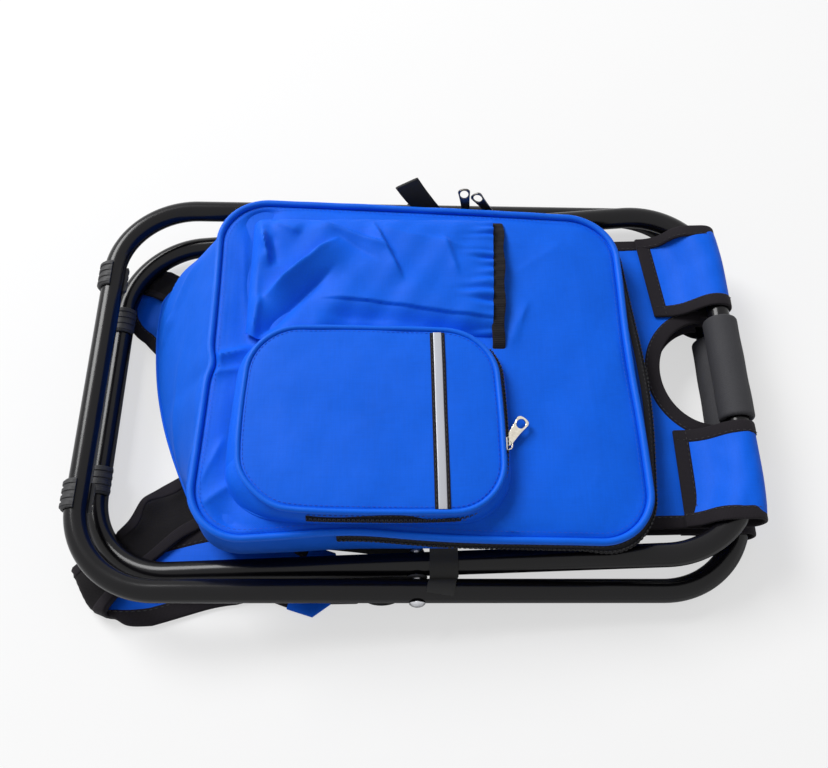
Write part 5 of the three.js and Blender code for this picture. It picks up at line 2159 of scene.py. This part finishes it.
@dataclass(frozen=True)
class ShoulderStrap:
    """A padded strap with bound edges, lying on the floor under the bag and folded once."""

    label: str
    run: tuple[tuple[float, float], ...]
    back: tuple[tuple[float, float], ...]
    fold: Fold
    drop: tuple[float, float]
    girth: tuple[tuple[float, float], ...]
    dents: tuple[tuple[float, ...], ...] = ()
    width: float = 44.0
    layer: float = 1.6
    rest: float = 1.9
    tube_radius: float = 8.2
    cap_reach: float = 9.0

    def dented(self, points: Array) -> Array:
        """Points pushed by soft round dents, each a centre, a push and a reach.

        Args:
            points: the strap's points.

        Returns:
            The pushed points.
        """
        moved = points.copy()
        for x, y, dx, dy, dz, reach in self.dents:
            share = nearness(points, (x, y), reach)[..., None]
            moved += share * np.array([dx, dy, 0])
            moved[..., 2:] *= 1 + share * dz
        return moved

    def pressed(self, points: Array) -> Array:
        """Points squeezed flat where the narrow loop rests on the strap.

        The room left is the tube's underside, eased out as a parabola; heights shrink to it.

        Args:
            points: the strap's points.

        Returns:
            The squeezed points.
        """
        bar = NARROW.row(NARROW_LOOP.line())[::4]
        gaps = np.linalg.norm(points[..., None, :2] - bar[:, :2], axis=-1)
        nearest = gaps.argmin(-1)
        gap = np.take_along_axis(gaps, nearest[..., None], -1)[..., 0]
        room = bar[nearest, 2] - self.tube_radius + np.maximum(gap - 1.5, 0) ** 2 / 16
        squeezed = points.copy()
        squeezed[..., 2] *= np.clip(room / (4 * self.fold.radius), 0.25, 1)
        return squeezed

    def frame(self) -> tuple[Array, Array, Array]:
        """Centre points, sideways directions and distances along the unfolded strap.

        Returns:
            The points, the directions and the distances.
        """
        knots = [*map(np.array, self.run), *self.fold.unfolded(self.back)]
        path = spline(knots, 300)
        along = tangents(path)
        return path, np.stack([-along[:, 1], along[:, 0]], -1), lengths_along(path)

    def placed(self, across: Array, lift: Array) -> Array:
        """Points at distances across the strap and out of its middle, folded and laid down.

        Args:
            across: distance of each column from the centre line.
            lift: distance of each column out of the strap's middle.

        Returns:
            Rows of points along the strap.
        """
        path, side, at = self.frame()
        crossed = at[np.argmin(np.linalg.norm(path - np.array(self.fold.centre), axis=1))]
        width = np.interp(at - crossed, *np.array(self.girth).T)
        flat = path[:, None] + side[:, None] * across[None, :, None] * width[:, None, None]
        wave = 0.5 * np.sin(at / 17.0)[:, None] * np.sin(across / 15.0)[None]
        points = self.fold.apply(flat, np.broadcast_to(lift, flat.shape[:2]) + 0.3 * wave)
        gone = np.linalg.norm(points[..., :2] - np.array(self.fold.centre), axis=-1)
        before = (flat - np.array(self.fold.centre)) @ self.fold.beyond() < 0
        sink = 2 * self.fold.radius * ramp(gone, *self.drop) * before
        points[..., 2] = np.maximum(points[..., 2] + self.rest - sink, FLOOR_GAP)
        return self.pressed(self.dented(points))

    def slab(self, low: float, high: float) -> Patch:
        """A layer of the strap between two distances from its middle, softly rounded.

        Args:
            low: the distance to its underside.
            high: the distance to its top.

        Returns:
            The layer.
        """
        half = self.width / 2 - 0.8
        t = np.linspace(-half, half, 25)
        soft = 1 - 0.3 * np.abs(t / half) ** 4
        top = self.placed(t, (high * soft)[None])
        base = self.placed(t[::-1], (low * soft[::-1])[None])
        return Patch(np.concatenate([top, base], 1), wrap_cols=True, capped=True)

    def end_cap(self) -> Patch:
        """A cloth cap over the strap's end, drawn in past it towards the buckle.

        Returns:
            The cap.
        """
        wide = self.width + 3.4
        section = band_section(wide, 5.2, 32, -wide / 2)
        grid = self.placed(section[:, 0], section[:, 1][None])[-12:]
        last = grid[-1]
        middle = last.mean(0)
        step = unit(middle - grid[-3].mean(0))
        s = np.linspace(0, 1, 9)[1:, None, None]
        more = middle + (last - middle) * (1 - 0.5 * s) + step * self.cap_reach * s
        whole = np.concatenate([grid, more])
        whole[..., 2] = np.maximum(whole[..., 2], FLOOR_GAP)
        return Patch(whole, wrap_cols=True, capped=True)

    def build(self) -> None:
        """Cloth on one face, mesh on the other, and a folded tape along both edges."""
        body = Body.NARROW
        name = f"shoulder_strap_{self.label}"
        LOG.info(CORD_LOG, name, self.frame()[2][-1])
        cloth = piece(f"{name}_cloth", self.slab(0.0, -self.layer), Kit.CLOTH, body, ROW, [name])
        mesh = piece(f"{name}_mesh", self.slab(0.02, self.layer), Kit.MESH, body)
        cap = piece(f"{name}_end_cap", self.end_cap(), Kit.CLOTH, body)
        for label, side in (("inner", 1), ("outer", -1)):
            section = band_section(9.5, 4.1, 16, -0.6)
            across = side * (self.width / 2 - section[:, 0])
            grid = self.placed(across, section[:, 1][None])
            tape = Patch(grid, wrap_cols=True, capped=True)
            piece(f"{name}_{label}_binding", tape, Kit.BINDING, body)
            seam = np.array([side * (self.width / 2 - 7.2)])
            line = self.placed(seam, np.array([[-2.1]]))[:, 0]
            sewn = stitches(line, UP, 2.4, 4.0, 0.3)
            piece(f"{name}_{label}_stitches", sewn, Kit.BLACK_THREAD, body)


NEAR_FOLD = Fold((-226.0, -149.0), (0.516, -0.857))
FAR_FOLD = Fold((-217.0, 112.0), (-0.79, -0.61))
NEAR_STRAP = ShoulderStrap(
    "near",
    ((68, -51), (-43, -58), (-125, -68), (-167, -83), (-199, -114.5)),
    ((-180, -135), (-134, -124), (-100, -123.5), (-78, -132), (-57, -139)),
    NEAR_FOLD,
    (62.0, 112.0),
    ((-85, 1.0), (-38, 0.76), (-14, 0.86), (4, 1.0), (45, 1.36), (110, 1.3), (150, 1.0)),
    ((-216, -175, 6.5, 7.5, 0.3, 13), (-222, -140, 0, 0, 0.9, 22), (-205, -164, 0, 0, 0.7, 12),
     (-202, -98, 2.5, -2.5, 0.5, 8), (-190, -84, -2.0, 2.0, 0.8, 8),
     (-176, -72, 2.0, -2.0, 0.5, 8)),
)
FAR_STRAP = ShoulderStrap(
    "far",
    ((68, 51), (-43, 58), (-125, 66), (-160, 80), (-190, 99)),
    ((-207, 82), (-193, 65), (-176, 48), (-155, 33), (-133, 29), (-111, 48), (-104, 85),
     (-104, 108), (-100, 128), (-90, 142), (-78, 147), (-62, 147)),
    FAR_FOLD,
    (135.0, 190.0),
    ((-75, 1.0), (-25, 0.56), (6, 0.62), (34, 1.0)),
)


@dataclass(frozen=True)
class LadderLock:
    """A moulded buckle at the end of a strap: a frame with two cross bars."""

    size: tuple[float, float] = (26.0, 30.0)
    corner: tuple[float, float] = (-61.7, 132.1)
    inset: float = 1.7
    near_shift: float = 6.0

    def build(self, label: str, side: int) -> None:
        """The frame as a rounded bar round an outline, with bars across it.

        Args:
            label: near or far.
            side: -1 for the near buckle and 1 for the far one.
        """
        (x0, y0), (length, width) = self.corner, self.size
        left, near = x0 + self.inset, y0 + self.inset
        right, far = x0 + length - self.inset, y0 + width - self.inset
        corners = ((left, near), (right, near), (right, far), (left, far))
        outline = points3(rounded_quad(corners, 3.0, 14, 8), 1.6)
        parts = [sweep(outline, band_section(3.2, 2.9, 16, -1.6), closed=True)]
        for at, depth in ((0.32, 3.6), (0.6, 4.2)):
            x = x0 + at * length
            y = np.linspace(y0 + 1, y0 + width - 1, 24)
            bow = 0.5 * np.sin(np.pi * np.linspace(0, 1, 24))
            bar = np.stack([np.full_like(y, x), y, 1.5 + bow], -1)
            parts.append(sweep(bar, band_section(depth, 2.2, 14, -depth / 2)))
        shift = np.array([0, self.near_shift * (side < 0), 0])
        for part in parts:
            part.points = part.points * np.array([1.0, side, 1.0]) + shift
        name = f"ladder_lock_{label}"
        piece(name, parts, Kit.PLASTIC, Body.NARROW, ROW, [name])


@dataclass(frozen=True)
class LowerWebbing:
    """Webbing from the buckle, round on the floor and up to the underside of the bag."""

    near_shift: float = 6.0
    buckle_y: float = 147.0
    route: tuple[Point, ...] = (
        (-43.0, 147.1, 3.6), (-34.5, 147.1, 1.6), (-26.0, 147.0, 0.7), (-14.3, 145.5, 0.7),
        (-1.0, 134.0, 0.7), (-3.5, 120.5, 1.2), (-22.0, 113.0, 2.4), (-52.7, 109.3, 5.6),
        (-76.0, 108.2, 9.4), (-94.7, 107.8, 12.0),
    )

    def build(self, label: str, side: int) -> None:
        """A flat ribbon carried level along its route.

        Args:
            label: near or far.
            side: -1 for the near webbing and 1 for the far one.
        """
        shift = self.near_shift * (side < 0)
        knots = [(x, side * y + shift * (y > self.buckle_y), z) for x, y, z in self.route]
        path = spline(knots, 150)
        ribbon = sweep(path, band_section(20.0, 1.35, 18, -10.0))
        name = f"lower_webbing_{label}"
        LOG.info(CORD_LOG, name, lengths_along(path)[-1])
        piece(name, ribbon, Kit.WEBBING, Body.NARROW, ROW, [name])


@dataclass(frozen=True)
class Ribbon:
    """A piece of webbing that passes knots; across gives its width's direction at each end."""

    knots: tuple[Point, ...]
    width: float
    thickness: float
    across: tuple[Point, Point] = ((1, 0, 0), (1, 0, 0))

    def patch(self, count: int = 110) -> Patch:
        """The ribbon: its section's x follows the mixed directions, its y their normal.

        Args:
            count: how many rows it has.

        Returns:
            The ribbon.
        """
        path = spline(self.knots, count)
        t = smooth(np.linspace(0, 1, count))[:, None]
        wide = np.array(self.across[0]) * (1 - t) + np.array(self.across[1]) * t
        along = tangents(path)
        wide = unit(wide - along * np.sum(wide * along, -1, keepdims=True))
        high = np.cross(wide, along)
        section = band_section(self.width, self.thickness, 18, -self.width / 2)
        return edged(path, wide, high, section)


@dataclass(frozen=True)
class TieStraps:
    """Hook-and-loop ties round the narrow loop's side tubes, with their tails."""

    x: float = 21.6
    tube: tuple[float, float] = (136.0, 29.3)
    radius: float = 9.1
    width: float = 19.0
    near_flap: Ribbon = Ribbon(
        ((21.5, -120.5, 47.0), (21.5, -126.0, 42.5), (21.5, -132.0, 39.6), (21.5, -139.0, 39.2),
         (21.3, -144.8, 35.8), (21.0, -147.6, 31.0)),
        19.0, 1.7,
    )
    near_tail: Ribbon = Ribbon(
        ((21.0, -146.4, 24.0), (20.6, -147.4, 31.0), (20.0, -150.4, 35.2), (19.2, -154.6, 36.1),
         (18.6, -158.2, 35.4)),
        18.5, 1.5, ((1, 0, 0), (1, -0.06, 0)),
    )
    far_tail: Ribbon = Ribbon(
        ((20.5, 141.5, 37.0), (16.5, 145.5, 43.0), (11.0, 146.6, 53.0), (5.0, 146.4, 66.0),
         (0.0, 145.6, 79.0)),
        19.0, 1.7, ((0.95, 0.0, 0.3), (0.87, 0.18, 0.45)),
    )

    def loop(self, side: int) -> Patch:
        """A closed band round the tube, its inner side drawn towards the bag.

        Args:
            side: -1 for the near tie and 1 for the far one.

        Returns:
            The band.
        """
        a = around(90)
        reach = self.radius + 5.4 * np.clip(-np.cos(a), 0, 1) ** 6
        y = self.tube[0] + reach * np.cos(a)
        z = self.tube[1] + self.radius * np.sin(a)
        path = np.stack([np.full_like(a, self.x), side * y, z], -1)
        out = np.cross(tangents(path, True), np.array([1.0, 0, 0]))
        section = band_section(self.width, 1.5, 18, -self.width / 2)
        return edged(path, np.broadcast_to([1.0, 0, 0], path.shape), out, section, True)

    def build(self) -> None:
        """Both loops and their tails."""
        body = Body.NARROW
        for label, side in (("near", -1), ("far", 1)):
            name = f"tie_strap_{label}"
            piece(f"{name}_loop", self.loop(side), Kit.WEBBING, body, ROW, [name])
        for label, ribbon in (
            ("near_flap", self.near_flap),
            ("near_tail", self.near_tail),
            ("far_tail", self.far_tail),
        ):
            name = f"tie_strap_{label}"
            LOG.info(CORD_LOG, name, lengths_along(spline(ribbon.knots, 99))[-1])
            piece(name, ribbon.patch(), Kit.WEBBING, body)


@dataclass(frozen=True)
class Zipper:
    """A slider on its tape and the pull that swings in its bridge."""

    name: str
    pin: Point
    run: Point
    out: Point
    pull: Point
    length: float
    ring: tuple[float, float]
    finish: Kit
    roll: float = 0.0
    base: float = 2.2
    reach: float = 1.9

    def axes(self, along: Sequence[float], up: Sequence[float]) -> Array:
        """Three crossed directions: along, across and up.

        Args:
            along: the first direction.
            up: a direction that the last one leans to.

        Returns:
            The directions, one row each.
        """
        x = unit(np.array(along, float))
        z = np.array(up, float)
        z = unit(z - x * (z @ x))
        return np.stack([x, np.cross(z, x), z])

    def moved(self, patches: list[Patch], axes: Array) -> list[Patch]:
        """Patches turned into a set of axes about the pin.

        Args:
            patches: the patches, which are moved.
            axes: the directions of their x, y and z.

        Returns:
            The same patches.
        """
        for patch in patches:
            patch.points = patch.points @ axes + np.array(self.pin)
        return patches

    def plate(self, outline: Array, heights: Sequence[tuple[float, float]]) -> Patch:
        """A closed plate from an outline drawn in by steps, each at its own height.

        Args:
            outline: the outline.
            heights: how far each step is drawn in, and its height.

        Returns:
            The plate.
        """
        out = outward(outline)
        rings = [points3(outline - out * inset, z) for inset, z in heights]
        middle = [points3(np.broadcast_to(outline.mean(0), outline.shape), z)
                  for z in (heights[0][1], heights[-1][1])]
        return Patch(np.stack([middle[0], *rings, middle[1]], 1), wrap_rows=True)

    def slider_parts(self) -> list[Patch]:
        """A shield-shaped cap, a lower plate, two side lips and the bridge over the pin.

        Returns:
            The slider's patches about its pin.
        """
        drop = -self.base
        rise = self.base + self.reach
        corners = ((-5.0, -2.6), (5.0, -3.9), (5.0, 3.9), (-5.0, 2.6))
        outline = rounded_quad(corners, 1.9, 10, 8, (0.3, 0.35, 0.3, 0.2))
        cap = ((1.4, drop - 1.5), (0.4, drop - 1.5), (0.0, drop - 1.1), (0.0, drop - 0.5),
               (0.4, drop - 0.1), (1.2, drop + 0.08))
        low = ((1.2, drop - 4.2), (0.3, drop - 4.1), (0.0, drop - 3.7), (0.3, drop - 3.2),
               (1.2, drop - 3.1))
        t = np.linspace(0, np.pi, 26)
        arch = np.stack([-3.3 * np.cos(t), 0 * t, drop - 0.4 + rise * np.sin(t) ** 0.6], -1)
        bridge = sweep(arch, band_section(2.0, 0.9, 12, -1.0), ACROSS, twist=np.pi / 2)
        nose = np.stack([np.linspace(-3.9, -1.4, 8), np.zeros(8), np.full(8, drop - 2.3)], -1)
        post = sweep(nose, band_section(2.4, 2.6, 12, -1.2))
        return [self.plate(outline, cap), self.plate(outline, low), bridge, post]

    def pull_parts(self) -> list[Patch]:
        """A flat plate with a round-ended hole, rims raised round it, and an eye on the pin.

        Returns:
            The pull's patches about its pin.
        """
        r, hole = self.ring
        end = self.length - r
        corners = ((0.6, -0.62 * r), (end + r, -r), (end + r, r), (0.6, 0.62 * r))
        outer = rounded_quad(corners, min(r, 3.2) * 0.98, 22, 18, (-0.35, 0.2, -0.35, 0.0))
        turn = np.unwrap(np.arctan2(outer[:, 1], outer[:, 0] - end))
        inner = np.stack([end + hole * 1.05 * np.cos(turn), hole * 0.9 * np.sin(turn)], -1)
        out_in = unit(outer - inner)
        steps = ((0.0, 0.30), (0.10, 0.62), (0.28, 0.74), (0.5, 0.6), (0.72, 0.74), (0.9, 0.62),
                 (1.0, 0.3))
        gap = np.linalg.norm(outer - inner, axis=1)
        rows = []
        for share, z in steps:
            near = np.minimum(share * gap, 2.0 * share + np.maximum(gap - 2.0, 0) * share)
            rows.append(points3(inner + out_in * near[:, None], z))
        low = [row * np.array([1, 1, -1.0]) for row in rows[::-1]]
        plate = Patch(np.stack(rows + low, 1), wrap_rows=True, wrap_cols=True)
        t = around(30)
        eye = np.stack([0.2 + 1.5 * np.cos(t), 0 * t, 1.5 * np.sin(t)], -1)
        ring = sweep(eye, band_section(3.2, 0.9, 10, -1.6), ACROSS, closed=True, twist=np.pi / 2)
        return [plate, ring]

    def build(self) -> None:
        """The slider on its own body and the pull on its own, rolled about its length.

        The roll turns the pull's face by the cosine and sine of the angle towards its side.
        """
        slider = self.moved(self.slider_parts(), self.axes(self.run, self.out))
        length, a = unit(np.array(self.pull)), math.radians(self.roll)
        side = unit(np.cross(length, self.out))
        face = np.cross(side, length) * math.cos(a) + side * math.sin(a)
        pull = self.moved(self.pull_parts(), self.axes(self.pull, face))
        for name, parts in ((f"{self.name}_slider", slider), (f"{self.name}_pull", pull)):
            piece(name, parts, self.finish, name, ROW, [name], 40)


ALONG_RIM = (0.9946, 0.0, -0.1038)
BACK_ALONG_RIM = (-0.9946, 0.0, 0.1038)
ZIPPERS = (
    # The main zip's sliders and pulls take the darker plated metal, a painted dark reflection.
    Zipper("main_left", (45.20, 131.0, 56.93), ALONG_RIM, (0, 1, 0), (-0.08, 0.21, 0.975), 25.0,
           (4.8, 3.5), Kit.DARK_METAL),
    Zipper("main_right", (65.35, 131.0, 55.62), BACK_ALONG_RIM, (0, 1, 0), (-0.56, 0.19, 0.806),
           25.0, (4.8, 3.5), Kit.DARK_METAL),
    Zipper("pocket", (63.72, -70.0, 74.79), (0, 1, 0), (0.998, 0, -0.065), (0.59, 0.806, -0.030),
           23.8, (4.9, 3.3), Kit.NICKEL, -80.0, -1.4, 5.0),
)


# Studio


@dataclass(frozen=True)
class Studio:
    """Pale floor, soft light from above and the camera at the photo's angle."""

    eye: Point = (0.02033, -0.29635, 0.62593)
    right: Point = (0.99937192, -0.00910518, -0.03424715)
    up: Point = (0.02334774, 0.89619475, 0.44304611)
    back: Point = (0.0266581, -0.44356743, 0.89584445)
    lens: float = 39.13
    key_power: float = 118.0
    key_size: float = 1.6
    key_at: Point = (-1.75, 1.75, 2.45)
    sky: float = 0.34
    floor_reach: float = 2600.0
    floor_z: float = -0.05
    floor_glow: float = 0.6

    def camera(self) -> None:
        """A plain pinhole camera."""
        data = bpy.data.cameras.new("photo_camera")
        data.lens = self.lens
        data.sensor_width = 36.0
        data.clip_start = 0.01
        made = bpy.data.objects.new("photo_camera", data)
        turn = Matrix((self.right, self.up, self.back)).transposed().to_4x4()
        made.matrix_world = Matrix.Translation(Vector(self.eye)) @ turn
        bpy.context.scene.collection.objects.link(made)
        bpy.context.scene.camera = made

    def lamp(self, name: str, aim: Point) -> None:
        """A square soft light that looks at a point.

        Args:
            name: the light's name.
            aim: the point that it looks at.
        """
        data = bpy.data.lights.new(name, "AREA")
        data.energy = self.key_power
        data.shape = "SQUARE"
        data.size = self.key_size
        made = bpy.data.objects.new(name, data)
        made.location = self.key_at
        look = Vector(aim) - Vector(self.key_at)
        made.rotation_euler = look.to_track_quat("-Z", "Y").to_euler()
        bpy.context.scene.collection.objects.link(made)

    def floor(self) -> None:
        """A large pale sheet under the stool, with a very faint mottle."""
        t = np.linspace(-self.floor_reach, self.floor_reach, 9)
        x, y = np.meshgrid(t, t, indexing="ij")
        skin = sheet(points3(np.stack([x, y], -1), self.floor_z - 1.0), 2.0)[0]
        shader = Shader(bpy.data.materials.new("studio_floor"))
        mottle = shader.noise(6, 2)
        colour = shader.mixed(mottle, (0.88, 0.88, 0.885, 1), (0.91, 0.91, 0.91, 1))
        inputs = {"Base Color": colour, "Roughness": mottle * 0.1 + 0.75, "Specular IOR Level": 0.1}
        surface = shader.node("ShaderNodeBsdfPrincipled", inputs=inputs)
        glow = shader.node("ShaderNodeEmission", inputs={"Color": WHITE, "Strength": 1.0})
        seen = shader.node("ShaderNodeLightPath", output="Is Camera Ray") * self.floor_glow
        shader.node_out(shader.node("ShaderNodeMixShader", inputs={0: seen, 1: surface, 2: glow}))
        vertices = skin.points.reshape(-1, 3) * METRES_PER_MM
        mesh = bpy.data.meshes.new("studio_floor")
        mesh.from_pydata(vertices.tolist(), [], skin.faces()[0].tolist())
        mesh.materials.append(shader.owner)
        made = bpy.data.objects.new("studio_floor", mesh)
        bpy.context.scene.collection.objects.link(made)

    def world(self) -> None:
        """Dim soft light all round, white where the camera or a reflection looks past the floor."""
        world = bpy.data.worlds.new("studio_world")
        bpy.context.scene.world = world
        shader = Shader(world)
        rays = ("Is Camera Ray", "Is Glossy Ray", "Is Transmission Ray")
        camera, glossy, clear = (shader.node("ShaderNodeLightPath", output=ray) for ray in rays)
        dim, white = (
            shader.node("ShaderNodeBackground", inputs={"Color": WHITE, "Strength": strength})
            for strength in (self.sky, 1.0)
        )
        seen = camera.either(glossy.either(clear))
        mixed = shader.node("ShaderNodeMixShader", inputs={0: seen, 1: dim, 2: white})
        shader.node_out(mixed, "ShaderNodeOutputWorld")

    def build(self) -> None:
        """Sets up everything but the stool."""
        bpy.context.scene.view_settings.view_transform = "Standard"
        self.camera()
        self.floor()
        self.world()
        self.lamp("far_left_soft", (0, 0, 0))


def build_stool() -> None:
    """Makes every piece of the stool."""
    for loop in (WIDE_LOOP, NARROW_LOOP):
        loop.build()
    Pivots().build()
    for label, side in (("near", -1), ("far", 1)):
        for loop, y, facing in ((WIDE_LOOP, 89.0, 218.0), (NARROW_LOOP, 67.0, 142.0)):
            name = loop.name.replace("frame", f"foot_clip_{label}")
            FootClip(loop, side * y, facing).build(name)
    FoamGrip(WIDE_LOOP, "wide_grip").build()
    FoamGrip(NARROW_LOOP, "narrow_grip").build()
    SeatHalf("narrow", NARROW_LOOP, Body.NARROW_SEAT, (228.598, 44.310), 1).build()
    SeatHalf("wide", WIDE_LOOP, Body.WIDE_SEAT, (228.598, 11.600), -1).build()
    SeatSeam().build()
    BagBody().build()
    MainZip().build()
    Lid().build()
    ZipPocket().build()
    BottlePocket().build()
    for strap, side in ((NEAR_STRAP, -1), (FAR_STRAP, 1)):
        strap.build()
        LadderLock().build(strap.label, side)
        LowerWebbing().build(strap.label, side)
    TieStraps().build()
    for zipper in ZIPPERS:
        zipper.build()


def main() -> None:
    """Loads the frame, builds the stool and its studio and notes the sizes."""
    logging.basicConfig(level=logging.INFO, format="%(name)s: %(message)s")
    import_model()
    build_stool()
    Studio().build()


if __name__ == "__main__":
    main()
